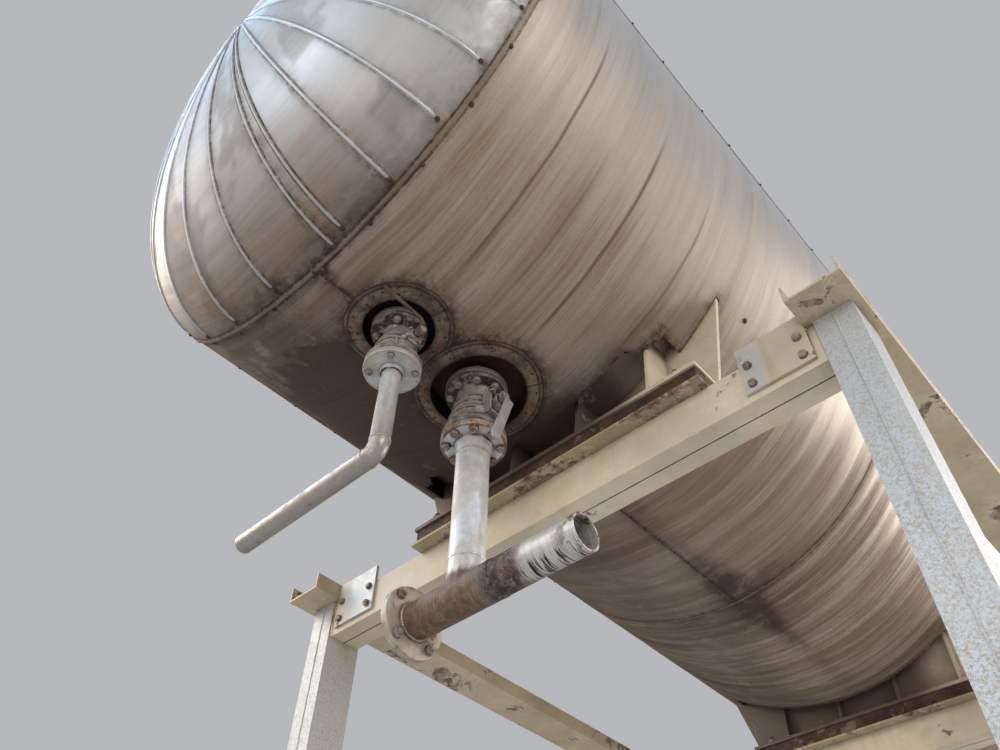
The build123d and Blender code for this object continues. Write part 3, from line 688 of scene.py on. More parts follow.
def rust_pipe(name):
    """Header: smooth brown by the flange and tee, a dark flaking patch beyond it, then silver with black drips."""
    s = Shade(name)
    x, y, z = s.split(s.coord)[:3]
    rings = s.noise(s.scale(s.warp(s.coord, 0.016, 17), (110, 13, 13)), 1.0, 7, 0.70)
    wide_rings = s.noise(s.scale(s.warp(s.coord, 0.02, 9), (26, 5, 5), (2, 1, 4)), 1.0, 5, 0.6)
    big = s.noise(s.warp(s.coord, 0.06, 6), 7.5, 6, 0.62)
    mid = s.noise(s.coord, 46, 7, 0.72)
    fine = s.noise(s.coord, 150, 4, 0.65)
    wavy_x = s.math("ADD", x, s.math("MULTIPLY", s.math("SUBTRACT", big, 0.5), 0.16))
    brown = s.mix(s.range(mid, 0.38, 0.62), (0.082, 0.043, 0.026), (0.150, 0.087, 0.054))
    brown = s.mix(s.math("MULTIPLY", s.range(rings, 0.48, 0.70), 0.40), brown, (0.30, 0.215, 0.155))
    brown = s.mix(s.math("MULTIPLY", s.range(wide_rings, 0.52, 0.70), 0.45), brown, (0.085, 0.045, 0.029))
    silver = s.mix(s.range(rings, 0.32, 0.66), (0.43, 0.40, 0.37), (0.58, 0.565, 0.545))
    silver = s.mix(s.math("MULTIPLY", s.range(mid, 0.58, 0.70), 0.5), silver, (0.17, 0.12, 0.09))
    pale_zone = s.math("MAXIMUM", s.range(wavy_x, 0.20, 0.34), s.range(s.math("ADD", z, s.math("MULTIPLY", s.math("SUBTRACT", big, 0.5), 0.05)), HEADER_Z + 0.030, HEADER_Z + 0.075))
    pale_zone = s.math("MULTIPLY", pale_zone, s.range(s.math("ADD", rings, s.math("MULTIPLY", pale_zone, 0.30)), 0.40, 0.56))
    neck = s.math("ADD", z, s.math("ADD", s.math("MULTIPLY", s.math("SUBTRACT", rings, 0.5), 0.050), s.math("MULTIPLY", s.math("SUBTRACT", big, 0.5), 0.030)))
    pale_zone = s.math("MAXIMUM", pale_zone, s.range(neck, HEADER_Z + 0.040, HEADER_Z + 0.064))
    color = s.mix(pale_zone, brown, silver)
    peel_zone = s.math("MULTIPLY", s.range(wavy_x, 0.10, 0.18), s.range(wavy_x, 0.31, 0.25))
    flaking = s.math("MULTIPLY", peel_zone, s.range(s.noise(s.warp(s.coord, 0.03, 30), 34, 8, 0.80), 0.43, 0.48))
    flaking = s.math("MAXIMUM", flaking, s.math("MULTIPLY", s.range(wavy_x, 0.40, 0.47), s.range(s.noise(s.warp(s.coord, 0.04, 22), 19, 8, 0.78), 0.50, 0.56)))
    color = s.mix(flaking, color, s.mix(s.range(mid, 0.47, 0.60), (0.018, 0.010, 0.008), (0.120, 0.060, 0.036)))
    lips = s.math("MULTIPLY", peel_zone, s.range(s.noise(s.warp(s.coord, 0.03, 30), 34, 8, 0.80), 0.40, 0.43))
    lips = s.math("MULTIPLY", lips, s.math("SUBTRACT", 1.0, flaking))
    color = s.mix(s.math("MULTIPLY", lips, 0.55), color, (0.50, 0.45, 0.40))
    drip = s.noise(s.scale(s.warp(s.coord, 0.004, 30), (190, 12, 12), (3, 7, 2)), 1.0, 4, 0.6)
    low = s.range(z, HEADER_Z - 0.026, HEADER_Z - 0.046)
    drips = s.math("MULTIPLY", s.math("MULTIPLY", low, s.range(wavy_x, 0.20, 0.27)), s.range(drip, 0.50, 0.58))
    color = s.mix(drips, color, (0.016, 0.010, 0.008))
    upper = s.math("MULTIPLY", s.range(z, HEADER_Z + 0.030, HEADER_Z + 0.054), s.range(wavy_x, 0.16, 0.22))
    color = s.mix(s.math("MULTIPLY", upper, s.range(drip, 0.46, 0.58)), color, (0.07, 0.042, 0.030))
    height = s.math("ADD", s.math("ADD", s.math("MULTIPLY", pale_zone, 0.35), s.math("MULTIPLY", flaking, -1.0)), s.math("ADD", s.math("MULTIPLY", lips, 0.9), s.math("MULTIPLY", mid, 0.35)))
    rough = s.mix(pale_zone, (0.60, 0.60, 0.60), (0.40, 0.40, 0.40))
    metal = s.math("MULTIPLY", s.math("MULTIPLY", pale_zone, s.math("SUBTRACT", 1.0, flaking)), 0.45)
    return s.done(color, rough, metal, s.bump(fine, 0.22, 0.0007, s.bump(height, 0.8, 0.0022)))


def dark_rust(name, a=(0.045, 0.022, 0.014), b=(0.15, 0.070, 0.036), pale=0.25):
    s = Shade(name)
    big = s.noise(s.warp(s.coord, 0.06, 9), 11, 7, 0.68)
    mid = s.noise(s.coord, 60, 6, 0.72)
    fine = s.noise(s.coord, 210, 3, 0.6)
    color = s.mix(s.range(big, 0.35, 0.65), a, b)
    color = s.mix(s.math("MULTIPLY", s.range(mid, 0.58, 0.70), 0.6), color, (0.24, 0.11, 0.05))
    color = s.mix(s.math("MULTIPLY", s.range(s.noise(s.coord, 7, 6, 0.7), 0.56, 0.62), pale), color, (0.45, 0.39, 0.30))
    return s.done(color, s.range(mid, 0.3, 0.7, 0.68, 0.92), 0.0, s.bump(fine, 0.3, 0.0008, s.bump(s.math("ADD", big, mid), 0.6, 0.002)))


def bare_metal(name, tone=(0.62, 0.61, 0.60), rough=0.32, tarnish=0.4):
    s = Shade(name)
    big = s.noise(s.coord, 21, 6, 0.65)
    brush = s.noise(s.scale(s.coord, (30, 30, 420)), 1.0, 3, 0.6)
    fine = s.noise(s.coord, 190, 3, 0.6)
    color = s.mix(brush, tuple(0.8 * c for c in tone), tone)
    worn = s.range(big, 0.66 - 0.2 * tarnish, 0.76 - 0.2 * tarnish)
    color = s.mix(s.math("MULTIPLY", worn, 0.7), color, (0.17, 0.10, 0.06))
    return s.done(color, s.range(big, 0.3, 0.7, rough, rough + 0.25), s.range(worn, 0, 1, 0.9, 0.15), s.bump(s.math("ADD", brush, fine), 0.2, 0.0006))


def wool_dark(name):
    # near black: the lagging seen in the holes and slot, painted shade
    s = Shade(name)
    a = s.noise(s.scale(s.coord, (60, 160, 60)), 1.0, 6, 0.7)
    b = s.noise(s.coord, 14, 5, 0.6)
    color = s.mix(s.range(a, 0.3, 0.7), (0.004, 0.003, 0.002), (0.016, 0.010, 0.007))
    color = s.mix(s.math("MULTIPLY", s.range(b, 0.55, 0.7), 0.6), color, (0.026, 0.015, 0.009))
    return s.done(color, s.range(b, 0.3, 0.7, 0.9, 1.0), 0.0, s.bump(a, 0.7, 0.004), spec=0.2)


MAT = {
    "clad": cladding_material("cladding_sheet", 0.94, 0.80, runs=((-2.11, 0.011, 0.75, 0.30, 1.45), (-1.75, 0.013, 0.80, 0.30, 1.35), (-1.93, 0.007, 0.45, 0.35, 1.10), (-1.45, 0.010, 0.55, 0.45, 1.30), (-0.86, 0.012, 0.50, 0.40, 1.20))),
    # far band: a brighter copy of the sheet colour (1.26 against 0.94 near), painted light
    "clad_far": cladding_material("cladding_sheet_far_lit", 1.26, 1.25, even=0.0),
    # end sheets: a brighter, bluish copy of the sheet colour, a painted sky reflection
    "head": cladding_material("cladding_end_sky_tinted", 1.06, 0.22, (0.93, 0.98, 1.045)),
    "flash": None,
    "valve": silver_paint("valve_silver", (0.46, 0.43, 0.395), rust=0.42, dark=0.80, metal=0.55),
    "pipe": silver_paint("pipe_silver", (0.66, 0.685, 0.72), rust=0.12, dark=0.40, metal=0.40),
    "drain": silver_paint("drain_pipe_silver", (0.52, 0.525, 0.535), rust=0.36, dark=0.75, metal=0.42, shade_and_stain=(2, 3.44, 3.22, 0.68, (0.205, 0.168, 0.135))),
    "flange_rust": silver_paint("flange_worn", (0.38, 0.33, 0.28), rust=0.95, dark=0.6, metal=0.3),
    "flange_beige": silver_paint("header_flange_worn", (0.40, 0.345, 0.285), rust=0.55, dark=0.5, metal=0.2),
    "bolt": silver_paint("bolt_worn", (0.30, 0.265, 0.23), rust=0.85, dark=0.7, metal=0.4),
    "screw": dark_rust("screw_rust", (0.016, 0.010, 0.008), (0.060, 0.032, 0.020), pale=0.04),
    # beam: darker brownish towards -X, painted shade
    "beam": cream_paint("beam_cream", (0.64, 0.56, 0.435), peel=0.18, rust=0.22, shade_and_stain=(0, 0.35, -0.75, 0.45, (0.33, 0.26, 0.185))),
    "strip": cream_paint("seat_cream", (0.40, 0.32, 0.20), peel=0.74, rust=0.66),
    "column": cream_paint("column_cream", (0.40, 0.345, 0.265), peel=0.26, rust=0.28, silver=0.84, tall=(1, 1, 0.4)),
    "plate": cream_paint("end_plate_cream", (0.56, 0.485, 0.375), peel=0.30, rust=0.50, silver=0.42),
    "tie": cream_paint("tie_cream", (0.52, 0.43, 0.305), peel=0.50, rust=0.38),
    # saddle: near black towards -X, painted shade
    "saddle": cream_paint("saddle_cream", (0.58, 0.50, 0.39), peel=0.20, rust=0.30, shade_and_stain=(0, 0.62, 0.30, 0.92, (0.055, 0.036, 0.024))),
    "packer": dark_rust("packer_rust", (0.025, 0.013, 0.009), (0.085, 0.038, 0.021)),
    "header": rust_pipe("header_rust"),
    "wool": wool_dark("lagging_wool_painted_shade"),
    # vessel seen through the holes, near black: painted shade with some rust
    "vessel": dark_rust("vessel_rust_and_shade", (0.014, 0.004, 0.003), (0.045, 0.010, 0.006), 0.0),
    "gasket": dark_rust("gasket_dark", (0.012, 0.010, 0.009), (0.03, 0.024, 0.02), 0.0),
    "lever": bare_metal("lever_zinc", (0.50, 0.49, 0.475), 0.44, 0.55),
    "ball": bare_metal("ball_steel", (0.7, 0.7, 0.71), 0.15, 0.0),
    "rod": dark_rust("rod_rust", (0.055, 0.032, 0.024), (0.14, 0.085, 0.06), 0.15),
}


def flashing_material():
    s = Shade("collar_flashing")
    grime = s.attr("grime")
    big = s.noise(s.warp(s.coord, 0.05, 10), 12, 7, 0.68)
    mid = s.noise(s.coord, 48, 6, 0.7)
    fine = s.noise(s.coord, 170, 3, 0.6)
    color = s.mix(s.range(big, 0.38, 0.60), (0.075, 0.046, 0.030), (0.215, 0.150, 0.102))
    color = s.mix(s.math("MULTIPLY", s.range(s.noise(s.warp(s.coord, 0.03, 12), 14, 7, 0.74), 0.52, 0.62), 0.75), color, (0.130, 0.048, 0.024))
    color = s.mix(s.math("MULTIPLY", s.range(mid, 0.54, 0.62), 0.75), color, (0.030, 0.018, 0.012))
    # dark edges: dark joints with painted shade
    color = s.mix(s.math("MULTIPLY", grime, s.range(mid, 0.3, 0.55, 0.85, 1.0), clamp=True), color, (0.014, 0.008, 0.005))
    return s.done(color, s.range(mid, 0.3, 0.7, 0.5, 0.78), 0.20, s.bump(fine, 0.2, 0.0006, s.bump(s.math("ADD", big, mid), 0.4, 0.0016)))


MAT["flash"] = flashing_material()


# ------------------------------------------------------------------ CAD nodes that stay
def dress(nodes, key):
    for n in nodes:
        ob = NODE[n]
        ob.data.materials.clear()
        ob.data.materials.append(MAT[key])


dress(["jacket_near", "jacket_far"], "wool")
dress(["vessel_shell", "vessel_head_near", "vessel_head_far"], "vessel")
dress(["nozzle_drain", "nozzle_outlet"], "valve")
dress(["drain_pipe"], "drain")
dress(["outlet_pipe"], "pipe")
dress(["outlet_header"], "header")
dress(["saddle_seat_near", "saddle_seat_far"], "strip")
dress(["saddle_packers_near", "saddle_packers_far"], "packer")
dress(["saddle_base_near", "saddle_base_far"], "saddle")
dress(["saddle_plates_near", "saddle_plates_far"], "saddle")
dress(["cross_beam_near", "cross_beam_far"], "beam")
dress([n for n in NODE if n.startswith("column_")], "column")
dress(["side_tie_left", "side_tie_right"], "tie")
dress(["beam_end_plates"], "plate")
dress(["valve_drain_ball", "valve_outlet_ball"], "ball")


# ------------------------------------------------------------------ cladding of the round part
SKIN = R + 0.0006      # inside of the thin sheet, just off the lagging
SHEET_T = 0.0011


def dirt_and_shade_by_height(theta, y):
    """Dirt and painted shade: heaviest underneath and on the side away from the light, with the lit edge near 46
    degrees.
    """
    t = signed(theta)
    edge = 46 + 8 * (fbm(y * 2.1, 0 * y + 4, 13) - 0.5)
    low = 1.0 - smooth(edge - 9, edge + 12, t)
    low = np.where(t < 0, 1.0 - 0.45 * smooth(70, 130, -t), low)
    base = 0.26 + 0.66 * low
    return np.clip(base + 0.30 * (fbm(theta * 0.09, y * 1.3, 5) - 0.5), 0, 1)


def stain_and_shade_at(theta, y):
    """Brown band along the lowest line and darker damp patches, plus painted shade on the -X underside, under the near
    end and beside the near saddle beam.
    """
    t = signed(theta)
    lowest = np.exp(-((t - 4.0) / 3.0) ** 2) * smooth(-1.15, -0.75, y) * (1 - smooth(0.1, 1.9, y)) * 0.8
    lowest = lowest * (0.6 + 0.8 * (fbm(y * 3.1, theta * 0.2, 8) - 0.3))
    damp = np.exp(-((t - 4.5) / 7.0) ** 2 - ((y + 0.12) / 0.20) ** 2) * 0.9
    damp2 = np.exp(-((t - 15) / 9.0) ** 2 - ((y + 0.06) / 0.10) ** 2) * 0.45
    damp3 = np.exp(-((t - 2) / 11.0) ** 2 - ((y - 0.16) / 0.16) ** 2) * 0.6
    # left: painted shade on the -X side below the axis
    left = (1 - smooth(-15, 4, t)) * (1 - smooth(30, 84, -t + 34 * (fbm(y * 1.5, theta * 0.03, 17) - 0.5))) * (0.62 + 0.38 * smooth(-2.45, -1.85, y))
    left = left * (1 - 0.50 * smooth(-1.50, -0.80, y + 0.5 * (fbm(theta * 0.05, y * 1.1, 19) - 0.5)))
    # near_dark: painted shade with some dirt under the near end; beam_side: painted shadow beside the near saddle beam
    near_dark = np.exp(-((t + 5) / 15.0) ** 2 - ((y + 1.60) / 0.55) ** 2) * 0.95
    beam_side = np.exp(-((t - 12) / 24.0) ** 2 - ((y + 1.40) / 0.13) ** 2) * 0.8
    return np.clip(lowest + damp + damp2 + damp3 + left + near_dark + beam_side, 0, 1)


SLOT = ([0.0, 0.500, 0.533, 0.619, 1.2], [1.432, 1.432, 1.377, 1.345, 1.345])   # cut edge: across, along


def cut_edge(theta):
    return np.interp(R * np.sin(np.radians(np.clip(abs(signed(theta)), 0, 60))), *SLOT)


def band_of_sheets(name, y0, y1, side, laps, holes, wave, seed):
    mesh = Mesh()
    deg = lambda x: math.degrees(math.asin(x / R))
    columns = [deg(0.500), deg(0.533), deg(0.619), -deg(0.500), -deg(0.533), -deg(0.619), deg(0.811), -deg(0.689)]
    ys = np.linspace(y0 + 0.0012, y1 - 0.0012, int((y1 - y0) / 0.0125))
    for c in (1.432, 1.240, 1.216, 1.137):
        ys[np.argmin(abs(ys - side * c))] = side * c
    for k, start in enumerate(laps):
        stop = laps[k + 1] if k + 1 < len(laps) else laps[0] + 360
        t0, t1 = start - 0.9, stop - 0.05
        th = [t0]
        while th[-1] < t1 - 1.0:
            th.append(th[-1] + (1.25 if abs(float(signed(th[-1]))) < 62 else 2.6))
        th = np.array(th[:-1] + [t1])
        for c in columns:
            for turn in (0, 360):
                if t0 + 1.5 < c + turn < t1 - 1.5:
                    th[np.argmin(abs(th - c - turn))] = c + turn
        T, Y = np.meshgrid(th, ys, indexing="ij")
        S = signed(T)
        # rows beyond the slot follow its hand-cut edge
        pull = (1.432 - cut_edge(T)) * (1 - smooth(35.5, 50, abs(S)))
        beyond = side * Y - 1.432
        Y = np.where(beyond > -0.004, Y - side * pull * (1 - smooth(0.0, 0.35, beyond)), Y)
        # sheet edges near the holes follow the circle
        for hx, hy, hr in holes:
            px = R * np.sin(np.radians(T))
            d = np.hypot(px - hx, Y - hy)
            inside = (d < hr) & (abs(S) < 60) & (d > 1e-6)
            nx = hx + (px - hx) / np.maximum(d, 1e-6) * hr
            ny = hy + (Y - hy) / np.maximum(d, 1e-6) * hr
            T = np.where(inside, T + (np.degrees(np.arcsin(np.clip(nx / R, -1, 1))) - S), T)
            Y = np.where(inside, ny, Y)
            S = signed(T)
        mid_t, mid_y = (T[:-1, :-1] + T[1:, 1:]) / 2, side * (Y[:-1, :-1] + Y[1:, 1:]) / 2
        st = signed(mid_t)
        wide = (abs(st) < deg(0.619)) & (mid_y > 1.137) & (mid_y < cut_edge(mid_t))
        slit = (st > -deg(0.689)) & (st < deg(0.811)) & (mid_y > 1.216) & (mid_y < 1.240)
        keep = ~wide & ~slit
        for hx, hy, hr in holes:
            px = R * np.sin(np.radians(T))
            d = np.hypot(px - hx, Y - hy) - hr
            out = d > 1e-5
            keep &= (out[:-1, :-1] | out[1:, :-1] | out[:-1, 1:] | out[1:, 1:]) | (abs(st) > 60)
        lap = 0.0017 * (1 - smooth(0.0, 3.0, T - t0)) + 0.0001
        rip = wave * (fbm(T * 0.03, Y * 17.0, seed, 3) - 0.5) * 2
        rip = rip + 0.0008 * (fbm(T * 0.09, Y * 2.2, seed + 40) - 0.5) * 2
        edge = np.minimum(np.minimum(T - t0, t1 - T) / 3.0, 1)
        rip = rip * smooth(0, 1, edge) + 0.0014 + wave
        to_cut = np.where(abs(S) < 36, np.minimum(abs(side * Y - cut_edge(T)), abs(side * Y - 1.137)), 1.0)
        to_cut = np.minimum(to_cut, np.hypot(np.maximum(abs(S) - deg(0.619), 0) * 0.0188, np.maximum(abs(side * Y - 1.241) - 0.104, 0)) + 0.006)
        to_slit = np.hypot(np.maximum(np.maximum(S - deg(0.811), -deg(0.689) - S), 0) * 0.0188, abs(side * Y - 1.228))
        lift = 0.0022 * np.exp(-to_cut / 0.03) * fbm(T * 0.6, Y * 3, seed + 3) * (abs(S) < 42)
        ro = SKIN + SHEET_T + lap + rip + lift
        outer, inner = on_tank(T, Y, ro), on_tank(T, Y, ro - SHEET_T)
        # grime: dark joints with painted shade at the laps and seam edges, painted shade with dirt round the holes,
        # painted shade along the saddle cut and slit
        grime = 0.95 * np.exp(-abs(T - t0) * R * math.pi / 180 / 0.006) + 0.4 * np.exp(-abs(T - t1) * R * math.pi / 180 / 0.010)
        grime = grime * (0.35 + 0.65 * np.clip(1.2 - abs(signed(t0)) / 60.0, 0.2, 1))
        for yy, w in ((y0, 0.016), (y1, 0.016)):
            near = np.exp(-np.maximum(abs(Y - yy) - 0.014, 0) / w)
            grime = grime + near * (0.15 + 0.65 * fbm(T * 0.25, Y * 0 + 3, seed + 9)) * np.clip(1.15 - abs(S) / 70.0, 0.25, 1)
        for hx, hy, hr in holes:
            d = np.hypot(R * np.sin(np.radians(T)) - hx, Y - hy)
            grime = grime + np.where(abs(S) < 60, np.exp(-np.maximum(d - hr - 0.048, 0) / 0.030) * 0.85, 0)
        grime = grime + 0.85 * np.exp(-to_cut / 0.022) + 0.6 * np.exp(-np.maximum(to_slit - 0.012, 0) / 0.020)
        # heavy line from the end seam to the first collar
        if y0 < -1:
            grime = grime + 0.8 * np.exp(-((S - 2.2) / 1.6) ** 2 - ((Y + 2.40) / 0.07) ** 2)
        flow = np.stack([np.radians(T) * R, Y, np.full_like(T, k + seed * 0.37)], -1)
        shell(mesh, outer, inner, keep, flow=flow, dirt=dirt_and_shade_by_height(T, Y), grime=np.clip(grime, 0, 1),
              stain=stain_and_shade_at(T, Y))
    return mesh.make(name, MAT["clad" if side < 0 else "clad_far"], slot="cladding", sharp=50)


HOLES = [(*DRAIN_CUT, 0.132), (*OUTLET_CUT, 0.184)]
NEAR_LAPS = [3.0, 93.0, 138.0, 183.0, 228.0, 273.0, 318.0]
FAR_LAPS = [68.0, 113.0, 158.0, 203.0, 248.0, 293.0]
band_of_sheets("cladding_near", -HL, 0.0, -1, NEAR_LAPS, HOLES, 0.0006, 3)
band_of_sheets("cladding_far", 0.0, HL, 1, FAR_LAPS, [], 0.0013, 11)


# ------------------------------------------------------------------ clad ends: gores and swaged beads
def end_point(theta, t, side, lift=0.0):
    """Point of the end at meridian angle t degrees from the rim, theta from the bottom."""
    t = np.radians(t)
    rr, ax = R * np.cos(t), DEPTH * np.sin(t)
    nr, na = np.cos(t) / R, np.sin(t) / DEPTH
    ln = np.hypot(nr, na)
    rr, ax = rr + lift * nr / ln, ax + lift * na / ln
    a = np.radians(theta)
    return np.stack([rr * np.sin(a), side * (HL + ax) + 0 * a, AX - rr * np.cos(a)], -1)


def clad_end(side, tag):
    mesh, beads, screws = Mesh(), Mesh(), Mesh()
    t_hub = math.degrees(math.acos(0.055 / R))
    ts = np.concatenate([np.linspace(0.15, 70, 34), np.linspace(72, t_hub, 10)])
    for i, a in enumerate(PETALS):
        b = PETALS[i + 1] if i + 1 < len(PETALS) else PETALS[0] + 360
        th = np.linspace(a - 0.12, b - 0.02, 9)
        T, M = np.meshgrid(th, ts, indexing="ij")
        mid, half = (a + b) / 2, (b - a) / 2
        flat = 1 - np.cos(np.radians(half)) / np.cos(np.radians(np.clip(T - mid, -half, half)))
        k = 0.8 * smooth(1, 16, M)
        sink = flat * k * R * np.cos(np.radians(M))
        lap = 0.0012 * (1 - smooth(0, 1.5, T - a))
        wave = 0.0012 * (fbm(T * 0.12, M * 0.10, 21 + i) - 0.5) * 2 * smooth(2, 12, M)
        lift = 0.0012 + lap + wave
        P = end_point(T, M, side, 0)
        centre = np.stack([0 * T, P[..., 1], 0 * T + AX], -1)
        out = P - centre
        rad = np.linalg.norm(out, axis=-1, keepdims=True)
        P2 = centre + out / rad * (rad - sink[..., None])
        outer = P2 + (end_point(T, M, side, 1.0) - P) * lift[..., None]
        inner = P2 + (end_point(T, M, side, 1.0) - P) * (lift - 0.0011)[..., None]
        S = signed(T)
        # darker towards the bottom of the end; grime along the laps and near the rim is painted shade beside the beads
        # and strap, with dirt
        low = 1 - smooth(8, 62, abs(S + 2) * np.where(S > -2, 1.0, 0.75))
        low = low * (1 - 0.55 * smooth(12, 46, M)) + 0.35 * (1 - smooth(0, 9, M)) * np.clip(1.2 - abs(S) / 60, 0, 1)
        dirt = np.clip(0.13 + 0.87 * low + 0.45 * (fbm(T * 0.07, M * 0.05, 33) - 0.5), 0, 1)
        de = np.minimum(T - a, b - T) * math.pi / 180 * R * np.cos(np.radians(M))
        weight = np.clip(1.18 - abs(S - 4) / 44.0, 0.44, 1)
        grime = np.exp(-np.abs(de) / 0.012) * weight * (0.10 + 1.1 * fbm(T, M * 0.35, 50))
        grime = grime + np.exp(-M * math.pi / 180 * DEPTH / 0.05) * weight * 0.95 * fbm(T * 0.3, M * 0.2, 55)
        grime = grime + 0.75 * np.clip(2.6 * fbm(T * 0.40, M * 0.45, 57) - 1.15, 0, 1) * np.exp(-M / 9.0) * weight
        stain = np.clip(weight * 0.62 * np.exp(-M / 14.0) + 0.25 * (fbm(T * 0.1, M * 0.06, 60) > 0.62), 0, 1)
        flow = np.stack([np.radians(T) * R * np.cos(np.radians(M)), np.radians(M) * 0.8, np.full_like(T, i + 30.0)], -1)
        shell(mesh, outer, inner, np.ones((T.shape[0] - 1, T.shape[1] - 1), bool), flow=flow, dirt=dirt,
              grime=np.clip(grime, 0, 1), stain=stain)
        # bead along the lap, stopping short of the seam; one lap near the lowest line has two
        jitter = value_noise(i * 1.7, 3.1, 70)
        pair = [(a, 3.2 + 2.6 * jitter)] if abs(a - 7.9) > 0.1 or side > 0 else [(a, 1.9), (a + 3.2, 4.3)]
        for a, start in pair:
            tb = np.concatenate([np.linspace(start, 70, 40), np.linspace(72, t_hub - 1.5, 12)])
            wid, hei = 0.0068, 0.0060
            prof = [(-1.45, 0.02), (-1.0, 0.18), (-0.66, 0.66), (-0.3, 0.94), (0, 1.0), (0.3, 0.94), (0.66, 0.66), (1.0, 0.18), (1.45, 0.02), (0.9, -0.35), (-0.9, -0.35)]
            verts = []
            for j, tt in enumerate(tb):
                p0 = end_point(np.array(a), np.array(tt), side, 0.0016)
                nrm = end_point(np.array(a), np.array(tt), side, 1.0016) - p0
                across = np.array([math.cos(math.radians(a)), 0, math.sin(math.radians(a))])
                s = min(1.0, 0.25 + (tt - start) / 1.6)
                w = wid * (0.6 + 0.4 * s) * min(1.0, 0.35 + 0.65 * (R * math.cos(math.radians(tt)) / 0.35))
                h = hei * s * (1 - 0.32 * float(smooth(50, 80, tt)))
                for u, v in prof:
                    verts.append(p0 + across * u * w + nrm * (v * h if v > 0 else v * 0.004))
            n = len(prof)
            faces = []
            for j in range(len(tb) - 1):
                for q in range(n):
                    q2 = (q + 1) % n
                    faces.append((j * n + q, j * n + q2, (j + 1) * n + q2, (j + 1) * n + q))
            faces.append(tuple(range(n)))
            faces.append(tuple((len(tb) - 1) * n + q for q in range(n))[::-1])
            V = np.array(verts)
            sa = abs(float(signed(a)) - 4)
            wgt = max(0.0, 1.1 - sa / 34.0)
            # bead flanks darker than the crown: painted shadow along each bead, with dirt
            side_dirt_and_shade = np.tile(np.array([1, 0.8, 0.35, 0.1, 0, 0.1, 0.35, 0.8, 1, 1, 1]), len(tb))
            beads.add(V, faces, flow=np.stack([V[:, 2], V[:, 0], np.full(len(V), 60.0 + i)], -1),
                      dirt=np.clip(0.10 + 0.8 * wgt * (0.5 + 0.5 * side_dirt_and_shade), 0, 1), grime=side_dirt_and_shade * (0.42 + 0.50 * wgt), stain=0.0)
            # screw near the bead's end, on the lap
            for tt, off in ((start - 0.9, 0.0),):
                p = end_point(np.array(a + off), np.array(tt), side, 0.0035)
                nrm = end_point(np.array(a + off), np.array(tt), side, 1.0035) - p
                lathe(screws, axes(p - nrm * 0.003, nrm), [(0, 0), (0.0085, 0.0), (0.0085, 0.0034), (0.0062, 0.0052), (0.0058, 0.0072), (0.003, 0.0088), (0, 0.009)], 14)
    ob = mesh.make("end_gores_" + tag, MAT["head"], slot="cladding", replaces=["head_jacket_" + tag], sharp=50)
    beads.make("end_beads_" + tag, MAT["head"], slot="cladding", sharp=60)
    screws.make("end_screws_" + tag, MAT["screw"], slot="flashing")
    # hub cap: low dished disc with a rolled rim
    cap = Mesh()
    y_tip = side * (HL + DEPTH)
    m = axes((0, y_tip - side * 0.004, AX), (0, side, 0))
    prof = [(0, -0.045), (0.050, -0.045), (0.052, -0.008), (0.088, -0.0075), (0.0905, -0.005), (0.0915, -0.0022), (0.0905, 0.0004), (0.087, 0.0012), (0.078, 0.0016), (0.040, 0.0038), (0, 0.0046)]
    lathe(cap, m, prof, 72, dirt=0.25, grime=0.1, stain=0.0)
    V = cap.v[0]
    cap.a["flow"] = [np.stack([V[:, 2], V[:, 0], np.full(len(V), 99.0)], -1)]
    rr = np.hypot(V[:, 0], V[:, 2] - AX)
    cap.a["grime"] = [np.clip(np.exp(-abs(rr - 0.0915) / 0.004) * 0.9 + 0.1, 0, 1)]
    cap.make("hub_cap_" + tag, MAT["head"], slot="cladding", replaces=["head_cap_" + tag], sharp=50)
    hub = Mesh()
    for q in range(6):
        ang = math.radians(25 + 60 * q)
        p = np.array([0.078 * math.cos(ang), y_tip - side * 0.0026, AX + 0.078 * math.sin(ang)])
        lathe(hub, axes(p, (0, side, 0)), [(0, 0), (0.0055, 0.0), (0.0055, 0.0016), (0.004, 0.0030), (0, 0.0034)], 12)
    hub.make("hub_screws_" + tag, MAT["screw"], slot="flashing")
    return ob


clad_end(-1, "near")
clad_end(1, "far")


